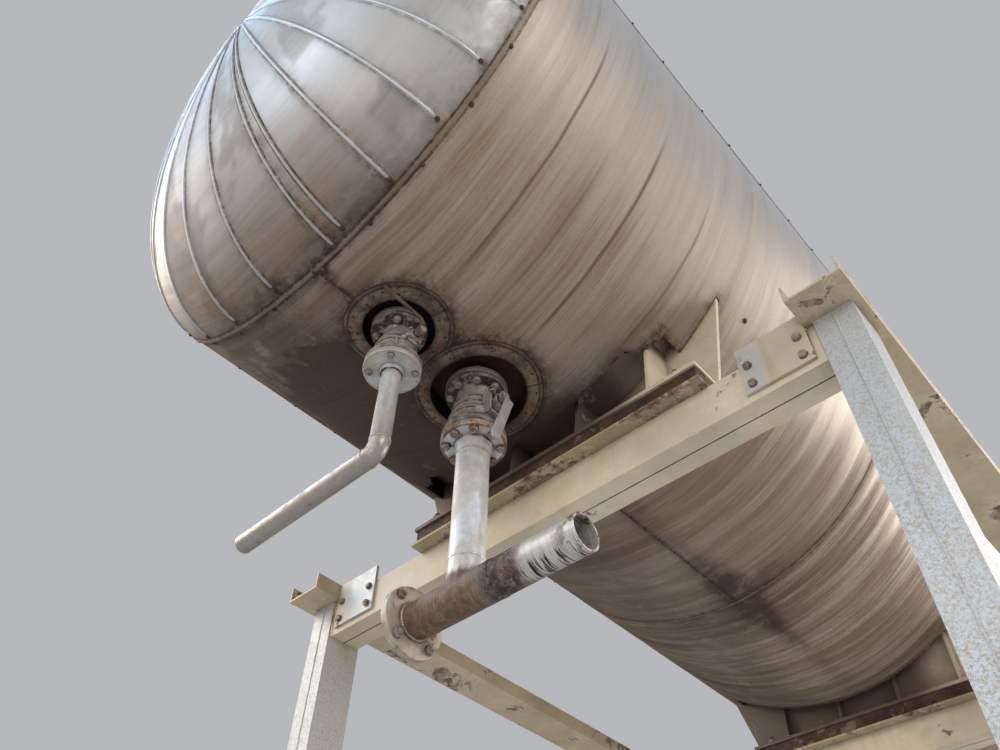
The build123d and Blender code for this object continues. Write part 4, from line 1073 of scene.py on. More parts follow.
# ------------------------------------------------------------------ seam bands
def strap(name, y0, node, bead, width, seed, lean=0.0):
    mesh = Mesh()
    seg = 4
    for k in range(seg):
        t0, t1 = 3 + 360 / seg * k - 1.4, 3 + 360 / seg * (k + 1)
        th = np.linspace(t0, t1, 110)
        w = width / 2
        lap = 0.0011 * (1 - smooth(0, 2.0, th - t0))
        base = R + 0.0040
        if bead:
            yy = [-w, -w + 0.002, lean - 0.0100, lean - 0.0080, lean - 0.0055, lean - 0.0025, lean, lean + 0.0025, lean + 0.0055, lean + 0.0080, lean + 0.0100, w - 0.002, w]
            hh = [0.0, 0.0008, 0.0009, 0.0019, 0.0036, 0.0047, 0.0050, 0.0047, 0.0036, 0.0019, 0.0009, 0.0008, 0.0]
        else:
            yy = [-w, -w * 0.9, -w * 0.3, w * 0.3, w * 0.9, w]
            hh = [0.0002, 0.0008, 0.0010, 0.0010, 0.0008, 0.0002]
        T, _ = np.meshgrid(th, yy, indexing="ij")
        Y = np.broadcast_to(np.array(yy), T.shape) + y0 + 0.0012 * (fbm(T * 0.05, 0 * T, seed) - 0.5)
        H = np.broadcast_to(np.array(hh), T.shape) + lap[:, None] + 0.0006 * (fbm(T * 0.12, 0 * T, seed + 2) - 0.5)
        outer = on_tank(T, Y, base + H)
        inner = on_tank(T, Y, base + H - 0.0010)
        S = abs(signed(T) - 3)
        wt = np.clip(1.2 - S / 60, 0.25, 1)
        # dark strap edges and lines beside the bead: dark joints with painted shade
        edge = 1 - np.minimum(w - abs(Y - y0), 0.006) / 0.006
        ridge = np.exp(-((abs(Y - y0 - lean) - 0.0085) / 0.0028) ** 2) if bead else 0.0
        grime = np.clip(edge * (0.50 + 0.45 * wt) + ridge * (0.35 + 0.40 * wt) + wt * 0.50 * (fbm(T * 0.35, Y * 40, seed + 4) - 0.30) + 0.9 * np.exp(-abs(T - t0) / 0.35), 0, 1)
        flow = np.stack([np.radians(T) * R, Y, np.full_like(T, 70.0 + k + seed)], -1)
        shell(mesh, outer, inner, np.ones((T.shape[0] - 1, T.shape[1] - 1), bool), flow=flow,
              dirt=np.clip(dirt_and_shade_by_height(T, Y) + 0.35, 0, 1), grime=grime, stain=0.45 * wt)
    return mesh.make(name, MAT["clad"], slot="band", replaces=[node], sharp=45)


strap("seam_strap_near", -HL, "seam_band_near", True, 0.029, 5, -0.001)
strap("seam_strap_middle", 0.0, "seam_band_middle", False, 0.018, 6)
strap("seam_strap_far", HL, "seam_band_far", True, 0.029, 7, 0.001)

screws = Mesh()


def tank_screw(theta, y, size=1.0, lift=0.0):
    p = on_tank(np.array(float(theta)), y, R + 0.0042 + lift)
    nrm = on_tank(np.array(float(theta)), y, R + 1.0) - on_tank(np.array(float(theta)), y, R)
    s = size
    lathe(screws, axes(p, nrm), [(0, 0), (0.0075 * s, 0.0), (0.0075 * s, 0.0018), (0.0052 * s, 0.0024), (0.0050 * s, 0.0042), (0.003 * s, 0.0052), (0, 0.0053)], 12)


for side in (-1, 1):
    for q in range(29):
        tank_screw(27.4 + 12.41 * q, side * (HL - 0.012) + 0.003 * math.sin(q * 2.1), 1.25)
for laps, sign in ((NEAR_LAPS, -1), (FAR_LAPS, 1)):
    for k, start in enumerate(laps):
        for q, y in enumerate(np.arange(0.12, 2.31, 0.235)):
            if abs(y - SADDLE_Y) < 0.19 and abs(signed(start)) < 61 or abs(signed(start)) < 20 and y > 1.40:
                continue
            tank_screw(start - 0.35, sign * (y + 0.02 * math.sin(q * 3.7 + k)), 0.8, 0.001)
tank_screw(49.8, -1.055, 1.5)
screws.make("cladding_screws", MAT["screw"], slot="flashing")


# ------------------------------------------------------------------ collars round the nozzle holes
def collar(name, node, cx, cy, r_in, r_out, laps, trim=None, seed=1, drop=0.0):
    mesh, pins = Mesh(), Mesh()
    laps = sorted(laps)
    for i, a0 in enumerate(laps):
        a1 = laps[i + 1] if i + 1 < len(laps) else laps[0] + 360
        an = np.radians(np.linspace(a0 - 2.0, a1, 60))
        rr = np.array([r_in, r_in + 0.003, r_in + 0.008, r_in + 0.016, (r_in + r_out) / 2, r_out - 0.022, r_out - 0.0175, r_out - 0.014,
                       r_out - 0.0105, r_out - 0.006, r_out - 0.002, r_out])
        A, Q = np.meshgrid(an, rr, indexing="ij")
        wob = 0.0018 * (fbm(A * 3, Q * 0, seed + i) - 0.5)
        X, Y = cx + (Q + wob) * np.cos(A), cy + (Q + wob) * np.sin(A)
        keep = np.ones((A.shape[0] - 1, A.shape[1] - 1), bool)
        if trim:
            tx, ty, tr = trim
            d = np.hypot(X - tx, Y - ty)
            inside = d < tr
            X = np.where(inside, tx + (X - tx) / d * tr, X)
            Y = np.where(inside, ty + (Y - ty) / d * tr, Y)
            keep = ~(inside[:-1, :-1] & inside[1:, :-1] & inside[:-1, 1:] & inside[1:, 1:])
        lap = 0.0016 * (1 - smooth(0, 6, np.degrees(A) - a0 + 2.0))
        prof = np.interp(Q, [r_in, r_in + 0.004, r_in + 0.012, r_out - 0.014, r_out - 0.0105, r_out - 0.006, r_out - 0.002, r_out],
                         [0.0016, 0.0016, 0.0002, 0.0000, 0.0011, 0.0014, 0.0009, -0.0004])
        warp = 0.0014 * (fbm(A * 1.6, Q * 9, seed + 20 + i) - 0.4)
        ro = R + 0.0052 + drop + lap + prof + warp
        Z = AX - np.sqrt(ro ** 2 - X ** 2)
        Zi = AX - np.sqrt((ro - 0.0010) ** 2 - X ** 2)
        outer, inner = np.stack([X, Y, Z], -1), np.stack([X, Y, Zi], -1)
        # dark lines at the rims, the step and the laps: dark joints with painted shade under the lips
        edge = np.maximum(np.exp(-((r_out - Q) / 0.0055) ** 2), 0.95 * np.exp(-(Q - r_in) / 0.009))
        edge = np.maximum(edge, np.exp(-((Q - r_out + 0.014) / 0.0042) ** 2))
        edge = np.maximum(edge, np.exp(-(np.degrees(A) - a0 + 2.0) / 1.4))
        shell(mesh, outer, inner, keep, grime=np.clip(edge, 0, 1))
        for q in np.arange(a0 + 9, a1 - 4, 27):
            for f in (0.30, 0.74) if int(q) % 2 else (0.55,):
                rad = r_in + f * (r_out - r_in)
                x, y = cx + rad * math.cos(math.radians(q)), cy + rad * math.sin(math.radians(q))
                if trim and math.hypot(x - trim[0], y - trim[1]) < trim[2] + 0.008:
                    continue
                z = AX - math.sqrt((R + 0.0055 + drop) ** 2 - x * x)
                nrm = (x, 0, z - AX)
                lathe(pins, axes((x, y, z), nrm), [(0, 0), (0.0050, 0), (0.0050, 0.0014), (0.0036, 0.0022), (0.0034, 0.0036), (0, 0.0044)], 10)
    mesh.make(name, MAT["flash"], slot="flashing", replaces=[node], sharp=50)
    pins.make(name + "_screws", MAT["screw"], slot="flashing")


collar("drain_collar", "collar_drain", *DRAIN_CUT, 0.120, 0.184, [-152, -52, 20, 118], trim=(*OUTLET_CUT, 0.2315), seed=2)
collar("outlet_collar", "collar_outlet", *OUTLET_CUT, 0.172, 0.231, [-140, -70, 35, 150], seed=8, drop=0.0008)


# ------------------------------------------------------------------ valves
def mm(points):
    return [(a / 1000.0, b / 1000.0) for a, b in points]


def ring_grime_and_shade(mesh, centre, levels, width=0.004):
    """Dark lines at given heights on everything collected so far: painted shade in the grooves between flanges and
    ribs, with grime.
    """
    V = np.concatenate(mesh.v)
    g = np.zeros(len(V))
    for z in levels:
        g = np.maximum(g, np.exp(-abs(V[:, 2] - z) / width))
    mesh.a["grime"] = [g * 0.92]


def upright(x, y):
    return axes((x, y, 0), (0, 0, 1), (1, 0, 0))


# drain valve body: turned casting with raised faces, ribs and a stem boss
x, y = DRAIN
body = Mesh()
lathe(body, upright(x, y), rounded(mm([
    (26.5, 3563.2), (61, 3563.2), (61, 3565.2), (91.9, 3565.2), (92.5, 3566), (92.5, 3577.5), (91.6, 3578.4), (72, 3579), (68, 3583),
    (68, 3588), (70.5, 3591), (70.5, 3600), (68.5, 3603), (68.5, 3630), (71, 3634), (71, 3642), (66, 3648), (60, 3652), (60, 3660),
    (62.5, 3663), (62.5, 3670), (56, 3684), (49, 3700), (46, 3712), (46, 3720), (52, 3728.4), (91.8, 3729), (92.5, 3730), (92.5, 3743),
    (91.8, 3743.8), (61, 3743.8), (61, 3745.8), (26.5, 3745.8)]), 0.0018), 112, closed=True)
for deg_at in (-38, 52, 142, 232):
    m = np.array(Matrix.Translation((x, y, 0)) @ Matrix.Rotation(math.radians(deg_at), 4, "Z"))
    block(body, (0.058, -0.0045, 3.592), (0.0765, 0.0045, 3.640), 0.0025, m=m)
mb = axes((x, y, 3.655), (1, 0, 0), (0, 0, 1))
lathe(body, mb, rounded(mm([(0, 50), (33, 50), (33, 70), (30, 73), (30, 80), (32.5, 81), (32.5, 86.5), (26, 87.5), (26, 91), (20, 92), (19, 96.5), (9.6, 97.5), (0, 97.5)])[1:-1], 0.0011), 56)
for q in range(4):
    a = math.radians(45 + 90 * q)
    p = place(mb, [(0.0275 * math.cos(a), 0.0275 * math.sin(a), 0.0865)])[0]
    nut_set(body, p, (1, 0, 0), 0.010, 0.0055, 0.003, 0.0, washer=False)
ring_grime_and_shade(body, DRAIN, [3.5640, 3.5795, 3.5895, 3.602, 3.6325, 3.650, 3.662, 3.7285, 3.7445], 0.0042)
body.make("drain_valve_casting", MAT["valve"], slot="valve_paint", replaces=["valve_drain_body"], sharp=32)

# outlet valve body
x, y = OUTLET
body = Mesh()
lathe(body, upright(x, y), rounded(mm([
    (49.5, 3513.2), (78, 3513.2), (78, 3515.4), (109.4, 3515.4), (110, 3516), (110, 3531.5), (109.2, 3532.2), (90, 3533), (86, 3537),
    (86, 3542), (93, 3546), (93, 3556), (91, 3558), (91, 3586), (93.5, 3589), (93.5, 3597), (91, 3600), (89, 3606), (82, 3614),
    (80, 3622), (80, 3630), (83, 3633), (83, 3642), (78, 3645), (76, 3652), (76, 3660), (79, 3663), (79, 3671), (73, 3676), (69, 3688),
    (67, 3702), (67, 3716), (72, 3727.4), (109.2, 3728), (110, 3729), (110, 3746.4), (109.4, 3747.2), (78, 3747.2), (78, 3749.8),
    (49.5, 3749.8)]), 0.0020), 128, closed=True)
mb = axes((x, y, 3.633), (1, 0, 0), (0, 0, 1))
lathe(body, mb, rounded(mm([(0, 60), (40, 60), (40, 88), (35, 92), (33, 97), (38, 98), (38, 104), (27, 106), (25, 112), (25, 121), (12.6, 122.5), (0, 122.5)])[1:-1], 0.0015), 56)
for q in range(4):
    a = math.radians(45 + 90 * q)
    p = place(mb, [(0.031 * math.cos(a), 0.031 * math.sin(a), 0.104)])[0]
    nut_set(body, p, (1, 0, 0), 0.014, 0.007, 0.004, 0.0, washer=False)
# bracket round the stem, open towards the flange: two cheeks and their stop bolt
for dy in (-0.040, 0.033):
    block(body, (x + 0.070, y + dy, 3.566), (x + 0.112, y + dy + 0.007, 3.660), 0.002)
block(body, (x + 0.104, y - 0.040, 3.566), (x + 0.112, y + 0.040, 3.574), 0.002)
nut_set(body, (x + 0.112, y - 0.0365, 3.650), (1, 0, 0), 0.017, 0.008, 0.005, 0.004)
ring_grime_and_shade(body, OUTLET, [3.5145, 3.5335, 3.5445, 3.5575, 3.588, 3.6015, 3.6135, 3.632, 3.644, 3.662, 3.6745, 3.7275, 3.748], 0.0040)
body.make("outlet_valve_casting", MAT["valve"], slot="valve_paint", replaces=["valve_outlet_body"], sharp=32)

# gaskets
gask = Mesh()
for (x, y), r, zs in ((DRAIN, 0.084, (3.5630, 3.7461)), (OUTLET, 0.101, (3.5130, 3.7501))):
    for z in zs:
        lathe(gask, upright(x, y), [(r - 0.03, z - 0.0012), (r, z - 0.0012), (r, z + 0.0012), (r - 0.03, z + 0.0012)], 72, closed=True)
gask.make("flange_gaskets", MAT["gasket"], slot="valve_paint")

# small rings and hubs where the pipes meet their flanges
necks = Mesh()
x, y = DRAIN
lathe(necks, upright(x, y), rounded(mm([(30.6, 3527), (35.5, 3527.6), (39.0, 3530), (39.4, 3540), (42, 3543.2), (30.6, 3543.4)]), 0.0015), 64, closed=True)
ring_grime_and_shade(necks, DRAIN, [3.5275, 3.543], 0.0018)
necks.make("drain_neck", MAT["pipe"], slot="pipe_paint", sharp=40)
neck2 = Mesh()
x, y = OUTLET
lathe(neck2, upright(x, y), rounded(mm([(55.2, 3436), (56.6, 3437), (57.2, 3452), (58.6, 3470), (62.5, 3482), (64.5, 3490.6), (66.5, 3491.4), (55.2, 3491.4)]), 0.0016), 72, closed=True)
ring_grime_and_shade(neck2, OUTLET, [3.4362, 3.4912], 0.0022)
neck2.make("outlet_neck", MAT["pipe"], slot="pipe_paint", sharp=40)

rim = Mesh()
lathe(rim, upright(*OUTLET), rounded(mm([(101, 3490.6), (110.1, 3490.6), (110.9, 3492), (110.9, 3511.6), (110.1, 3512.6), (101, 3512.6)]), 0.0012), 112, closed=True)
rim.make("outlet_flange_rim", MAT["flange_rust"], slot="pipe_paint", sharp=35)
rim = Mesh()
lathe(rim, upright(*DRAIN), rounded(mm([(84, 3542.7), (92.4, 3542.7), (93.1, 3544), (93.1, 3561.4), (92.4, 3562.6), (84, 3562.6)]), 0.0012), 112, closed=True)
ring_grime_and_shade(rim, DRAIN, [3.5625], 0.0016)
rim.make("drain_flange_rim", MAT["valve"], slot="pipe_paint", sharp=35)

# studs and nuts of the flange joints
bolts = Mesh()
for q in range(4):
    a = math.radians(45 + 90 * q)
    px, py = DRAIN[0] + 0.0725 * math.cos(a), DRAIN[1] + 0.0725 * math.sin(a)
    nut_set(bolts, (px, py, 3.5430), (0, 0, -1), 0.019, 0.009, 0.0060, 0.004, turn=q * 0.7, washer=False)
    nut_set(bolts, (px, py, 3.5785), (0, 0, 1), 0.022, 0.009, 0.0070, 0.002, turn=q * 0.4)
    nut_set(bolts, (px, py, 3.7288), (0, 0, -1), 0.022, 0.010, 0.0070, 0.005, turn=q * 0.9)
    nut_set(bolts, (px, py, 3.7662), (0, 0, 1), 0.022, 0.010, 0.0070, 0.004, turn=q * 0.2)
bolts.make("drain_flange_nuts", MAT["bolt"], slot="valve_paint", sharp=30)
bolts = Mesh()
for q in range(8):
    a = math.radians(45 * q)
    px, py = OUTLET[0] + 0.090 * math.cos(a), OUTLET[1] + 0.090 * math.sin(a)
    nut_set(bolts, (px, py, 3.4906), (0, 0, -1), 0.026, 0.012, 0.008, 0.007, turn=q * 0.7)
    nut_set(bolts, (px, py, 3.7278), (0, 0, -1), 0.025, 0.011, 0.008, 0.004, turn=q * 0.9)
    nut_set(bolts, (px, py, 3.7722), (0, 0, 1), 0.026, 0.013, 0.008, 0.006, turn=q * 0.2)
bolts.make("outlet_flange_nuts", MAT["bolt"], slot="valve_paint", sharp=30)

# upper flange rims on the nozzles
up = Mesh()
lathe(up, upright(*DRAIN), rounded(mm([(84, 3748), (92.9, 3748), (93.3, 3749.2), (93.3, 3765.4), (92.9, 3766.3), (84, 3766.3)]), 0.0012), 96, closed=True)
lathe(up, upright(*OUTLET), rounded(mm([(101, 3752.2), (110.4, 3752.2), (110.9, 3753.4), (110.9, 3771.4), (110.4, 3772.3), (101, 3772.3)]), 0.0012), 112, closed=True)
up.make("nozzle_flange_rims", MAT["valve"], slot="valve_paint", sharp=35)

# drain lever: bent rod on a hub with its nut
lev = Mesh()
hx = DRAIN[0] + 0.112
sy, sz = DRAIN[1], 3.655
pts = [(hx + 0.002, sy, sz + 0.008), (hx + 0.002, sy + 0.001, sz + 0.030), (hx + 0.002, sy + 0.0025, sz + 0.046)]
c0 = np.array((hx + 0.002, sy + 0.0035, sz + 0.058))
corner, end = np.array((hx + 0.002, sy + 0.004, sz + 0.064)), np.array((hx + 0.002, sy - 0.165, sz + 0.076))
for q in range(7):
    t = q / 6
    p0, p1 = corner + np.array((0, 0, -0.016)), corner + (end - corner) / np.linalg.norm(end - corner) * 0.018
    pts.append(tuple((1 - t) ** 2 * p0 + 2 * t * (1 - t) * corner + t * t * p1))
for q in range(1, 13):
    p1 = corner + (end - corner) / np.linalg.norm(end - corner) * 0.018
    pts.append(tuple(p1 + (end - p1) * q / 12))
rad = [0.0062] * (len(pts) - 5) + [0.0063, 0.0066, 0.0068, 0.0068, 0.0060]
sweep(lev, pts, rad, 18)
lathe(lev, axes((hx - 0.006, sy, sz), (1, 0, 0)), rounded(mm([(9.4, 0), (16.5, 0), (17, 1), (17, 15), (16, 16), (9.4, 16)]), 0.001), 40, closed=True)
lev.make("drain_lever_rod", MAT["rod"], body="drain_lever", slot="lever_steel", replaces=["valve_drain_lever"], sharp=40)
nut = Mesh()
nut_set(nut, (hx + 0.0098, sy, sz), (1, 0, 0), 0.021, 0.009, 0.006, 0.0, washer=True)
nut.make("drain_lever_nut", MAT["bolt"], body="drain_lever", slot="lever_steel", sharp=30)

# outlet lever: cranked flat bar with a rounded end, on the stem's flats
tilt = math.radians(17)
along = np.array((0, -math.sin(tilt), -math.cos(tilt)))
wide = np.array((0, -math.cos(tilt), math.sin(tilt)))
outward = np.array((1.0, 0, 0))
base = np.array((OUTLET[0] + 0.132, OUTLET[1], 3.633))
line = [(-24, 0), (-10, 0), (5, 0), (18, 0), (24, 3), (30, 9), (42, 23), (54, 37), (60, 41), (66, 42), (90, 42), (130, 42), (170, 42), (210, 42), (250, 42), (270, 42), (280, 42), (286, 42)]
half = [12, 20, 21, 21, 21, 21, 20, 19, 18.5, 18, 17.5, 17.5, 18, 18.5, 19, 18, 14, 6]
lev = Mesh()
verts, faces = [], []
sec = [(-1, 0.12), (-0.94, 0), (0.94, 0), (1, 0.12), (1, 0.88), (0.94, 1), (-0.94, 1), (-1, 0.88)]
for (u, v), h in zip(line, half):
    for sa, sb in sec:
        verts.append(base + along * u / 1000 + outward * (v + 7 * sb) / 1000 + wide * h * sa / 1000)
for i in range(len(line) - 1):
    for j in range(8):
        j2 = (j + 1) % 8
        faces.append((i * 8 + j, i * 8 + j2, (i + 1) * 8 + j2, (i + 1) * 8 + j))
faces.append(tuple(range(8))[::-1])
faces.append(tuple((len(line) - 1) * 8 + j for j in range(8)))
lev.add(verts, faces)
lev.make("outlet_lever_bar", MAT["lever"], body="outlet_lever", slot="lever_steel", replaces=["valve_outlet_lever"], sharp=28)
nut = Mesh()
nut_set(nut, base + outward * 0.007, (1, 0, 0), 0.030, 0.0062, 0.010, 0.004, washer=True)
nut.make("outlet_lever_nut", MAT["bolt"], body="outlet_lever", slot="lever_steel", sharp=30)


# ------------------------------------------------------------------ pipes: welds, tee, header flange
welds = Mesh()
weld_ring(welds, upright(*DRAIN) @ np.array(Matrix.Translation((0, 0, 3.507))), DRAIN_R, 0.0016, seed=2)
weld_ring(welds, upright(*DRAIN) @ np.array(Matrix.Translation((0, 0, 3.493))), DRAIN_R, 0.0014, seed=3)
weld_ring(welds, upright(*DRAIN) @ np.array(Matrix.Translation((0, 0, DRAIN_RUN_Z + 0.044))), DRAIN_R + 0.0003, 0.0034, seed=4)
weld_ring(welds, axes((DRAIN[0] - 0.044, DRAIN[1], DRAIN_RUN_Z), (1, 0, 0)), DRAIN_R + 0.0003, 0.0034, seed=5)
welds.make("pipe_welds", MAT["drain"], slot="pipe_paint", sharp=60)
weld1 = Mesh()
weld_ring(weld1, upright(*OUTLET) @ np.array(Matrix.Translation((0, 0, 3.4345))), PIPE_R, 0.0022, seed=6)
weld_ring(weld1, upright(*OUTLET) @ np.array(Matrix.Translation((0, 0, 3.026))), PIPE_R + 0.0003, 0.0040, seed=7)
weld1.make("outlet_pipe_welds", MAT["pipe"], slot="pipe_paint", sharp=60)
weld2 = Mesh()
weld_ring(weld2, axes((-0.098, OUTLET[1], HEADER_Z), (1, 0, 0)), PIPE_R + 0.0003, 0.0034, seed=8)
weld_ring(weld2, axes((0.176, OUTLET[1], HEADER_Z), (1, 0, 0)), PIPE_R + 0.0003, 0.0034, seed=9)
weld2.make("header_welds", MAT["header"], slot="header_paint", sharp=60)
weld3 = Mesh()
weld_ring(weld3, axes((-0.1565, OUTLET[1], HEADER_Z), (1, 0, 0)), PIPE_R + 0.0006, 0.0052, seed=10)
weld3.make("header_flange_weld", MAT["flange_beige"], slot="header_paint", sharp=60)


def pipe_tee():
    """Welding tee whose crotches are rounded: both pipes merged in a small voxel mesh, then eased."""
    mesh = Mesh()
    lathe(mesh, axes((-0.097, OUTLET[1], HEADER_Z), (1, 0, 0)), [(0, 0), (0.0568, 0), (0.0568, 0.272), (0, 0.272)], 64)
    lathe(mesh, upright(*OUTLET) @ np.array(Matrix.Translation((0, 0, HEADER_Z))), [(0, 0), (0.0566, 0), (0.0566, 0.110), (0, 0.110)], 64)
    ob = mesh.make("tee_fitting", MAT["header"], slot="header_paint", sharp=60)
    mod = ob.modifiers.new("merge", "REMESH")
    mod.mode = "VOXEL"
    mod.voxel_size = 0.0032
    mod.use_smooth_shade = True
    bpy.context.view_layer.objects.active = ob
    ob.select_set(True)
    bpy.ops.object.modifier_apply(modifier="merge")
    me = ob.data
    co = np.zeros(len(me.vertices) * 3)
    me.vertices.foreach_get("co", co)
    co = co.reshape(-1, 3)
    edges = np.zeros(len(me.edges) * 2, np.int64)
    me.edges.foreach_get("vertices", edges)
    edges = edges.reshape(-1, 2)
    count = np.bincount(edges.ravel(), minlength=len(co))
    r_head = np.hypot(co[:, 1] - OUTLET[1], co[:, 2] - HEADER_Z)
    r_up = np.hypot(co[:, 0] - OUTLET[0], co[:, 1] - OUTLET[1])
    near = np.exp(-((np.maximum(r_head, 0.0568) - 0.0568) + (np.maximum(r_up, 0.0566) - 0.0566)) / 0.045) * (co[:, 2] > HEADER_Z)
    w = np.clip(near * 1.1 - 0.1, 0, 1)[:, None]
    for _ in range(90):
        avg = np.zeros_like(co)
        np.add.at(avg, edges[:, 0], co[edges[:, 1]])
        np.add.at(avg, edges[:, 1], co[edges[:, 0]])
        avg /= count[:, None]
        moved = co + (avg - co) * 0.55 * w
        # only fill the crotch, never shrink the pipes
        a = np.hypot(moved[:, 1] - OUTLET[1], moved[:, 2] - HEADER_Z)
        b = np.hypot(moved[:, 0] - OUTLET[0], moved[:, 1] - OUTLET[1])
        bad = (a < 0.0567) & ((b < 0.0565) | (moved[:, 2] < HEADER_Z))
        moved[bad] = co[bad]
        co = moved
    b = np.hypot(co[:, 0] - OUTLET[0], co[:, 1] - OUTLET[1])
    low = (co[:, 2] > HEADER_Z) & (co[:, 2] < HEADER_Z + 0.106) & (b < 0.0563)
    for i, c in ((0, OUTLET[0]), (1, OUTLET[1])):
        co[low, i] = c + (co[low, i] - c) / b[low] * 0.0563
    a = np.hypot(co[:, 1] - OUTLET[1], co[:, 2] - HEADER_Z)
    low = (co[:, 0] > -0.093) & (co[:, 0] < 0.171) & (a < 0.0567)
    for i, c in ((1, OUTLET[1]), (2, HEADER_Z)):
        co[low, i] = c + (co[low, i] - c) / a[low] * 0.0567
    me.vertices.foreach_set("co", co.ravel())
    me.update()
    me.polygons.foreach_set("use_smooth", [True] * len(me.polygons))
    return ob


pipe_tee()

nuts = Mesh()
for q in range(4):
    a = math.radians(45 + 90 * q)
    p = (-0.160, OUTLET[1] + 0.090 * math.cos(a), HEADER_Z + 0.090 * math.sin(a))
    nut_set(nuts, p, (1, 0, 0), 0.026, 0.013, 0.008, 0.009, turn=q * 0.5)
nuts.make("header_flange_nuts", MAT["bolt"], slot="header_paint", sharp=30)
ring = Mesh()
lathe(ring, axes((-0.1824, OUTLET[1], HEADER_Z), (1, 0, 0)), rounded(mm([(100, 0.0), (110.0, 0.0), (110.8, 1.2), (110.8, 21.4), (110.0, 22.8), (63, 22.9), (63, 21.9), (100, 21.9)]), 0.0010), 112, closed=True)
ring.make("header_flange_rim", MAT["flange_beige"], slot="header_paint", sharp=35)


# ------------------------------------------------------------------ stand: welds, bolts
def fillet(mesh, p0, p1, na, nb, size=0.007, seed=1, **values):
    """Weld seam in the corner between two faces whose outward normals are na and nb."""
    p0, p1, na, nb = (np.asarray(v, float) for v in (p0, p1, na, nb))
    ln = np.linalg.norm(p1 - p0)
    n = max(4, int(ln / 0.006))
    verts = []
    for i in range(n + 1):
        t = i / n
        s = size * (0.8 + 0.22 * (i % 2) + 0.35 * (value_noise(i * 0.3, seed, seed) - 0.5))
        c = p0 + (p1 - p0) * t
        verts += [c - 0.001 * (na + nb), c + na * 0 + nb * s, c + (na + nb) * s * 0.62, c + na * s]
    faces = []
    for i in range(n):
        for j in range(4):
            j2 = (j + 1) % 4
            faces.append((i * 4 + j, i * 4 + j2, i * 4 + 4 + j2, i * 4 + 4 + j))
    faces.append((3, 2, 1, 0))
    faces.append(tuple(n * 4 + j for j in range(4)))
    mesh.add(verts, faces, **values)


stand = Mesh()
for sy in (-1, 1):
    ys = sy * SADDLE_Y
    for sx in (-1, 1):
        # column heads to beam ends
        xe = sx * 1.1178
        for s2 in (-1, 1):
            yy = ys + s2 * 0.068
            fillet(stand, (xe, yy, 3.412), (xe, yy, 3.568), (-sx, 0, 0), (0, s2, 0), 0.006, seed=3)
        # column foot welds
        for s2 in (-1, 1):
            fillet(stand, (sx * 1.181 - 0.06, ys + s2 * 0.080, 0.020), (sx * 1.181 + 0.06, ys + s2 * 0.080, 0.020), (0, s2, 0), (0, 0, 1), 0.007, seed=5)
            fillet(stand, (sx * 1.181 + s2 * 0.063, ys - 0.078, 0.020), (sx * 1.181 + s2 * 0.063, ys + 0.078, 0.020), (s2, 0, 0), (0, 0, 1), 0.007, seed=6)
    for xr in (-0.385, -0.073, 0.239, 0.551):
        for s2 in (-1, 1):
            fillet(stand, (xr + s2 * 0.006, sy * 1.161, 3.660), (xr + s2 * 0.006, sy * 1.218, 3.660), (s2, 0, 0), (0, 0, 1), 0.006, seed=7)
            fillet(stand, (xr + s2 * 0.006, sy * 1.238, 3.660), (xr + s2 * 0.006, sy * 1.393, 3.660), (s2, 0, 0), (0, 0, 1), 0.006, seed=8)
stand.make("stand_welds", MAT["plate"], slot="frame_paint", sharp=60)
seams = Mesh()
for sy in (-1, 1):
    for sx in (-1, 1):
        for s2 in (-1, 1):
            path, rad = [], []
            for q in range(160):
                z = 0.0215 + (3.566 - 0.0215) * q / 159
                path.append((sx * 1.181 + 0.0006 * math.sin(q * 1.9), sy * SADDLE_Y + s2 * 0.0795, z))
                rad.append(0.0042 + 0.0007 * (value_noise(q * 0.8, sx + 2 * sy, 91) - 0.5) + 0.0004 * (q % 2))
            sweep(seams, path, rad, 10)
seams.make("column_seam_welds", MAT["column"], slot="frame_paint", sharp=60)

hold = Mesh()
for sy in (-1, 1):
    ys = sy * SADDLE_Y
    for xb in (-0.49, 0.65):
        for s2 in (-1, 1):
            nut_set(hold, (xb, ys + s2 * 0.095, 3.660), (0, 0, 1), 0.032, 0.018, 0.010, 0.016, turn=0.4)
    for sx in (-1, 1):
        yo = sy * (SADDLE_Y + 0.080)
        for dx in (-0.085, 0.085):
            for z in (3.465, 3.545):
                nut_set(hold, (sx * 0.974 + dx, yo, z), (0, sy, 0), 0.024, 0.012, 0.007, 0.0, turn=0.2 + dx)
        for s2 in (-1, 1):
            for s3 in (-1, 1):
                nut_set(hold, (sx * 1.181 + s2 * 0.120, ys + s3 * 0.120, 0.020), (0, 0, 1), 0.036, 0.020, 0.011, 0.030, turn=0.3)
hold.make("stand_bolts", MAT["bolt"], slot="frame_paint", sharp=30)


# ------------------------------------------------------------------ stage, light, camera
floor_mat = Shade("stage_floor")
fn = floor_mat.noise(floor_mat.coord, 3.0, 4, 0.5)
floor_mat = floor_mat.done(floor_mat.mix(fn, (0.50, 0.465, 0.41), (0.54, 0.50, 0.445)), 0.8, 0.0)
me = bpy.data.meshes.new("stage_floor")
me.from_pydata([(-30, -30, -0.001), (30, -30, -0.001), (30, 30, -0.001), (-30, 30, -0.001)], [], [(0, 1, 2, 3)])
me.materials.append(floor_mat)
floor = bpy.data.objects.new("stage_floor", me)
bpy.context.scene.collection.objects.link(floor)

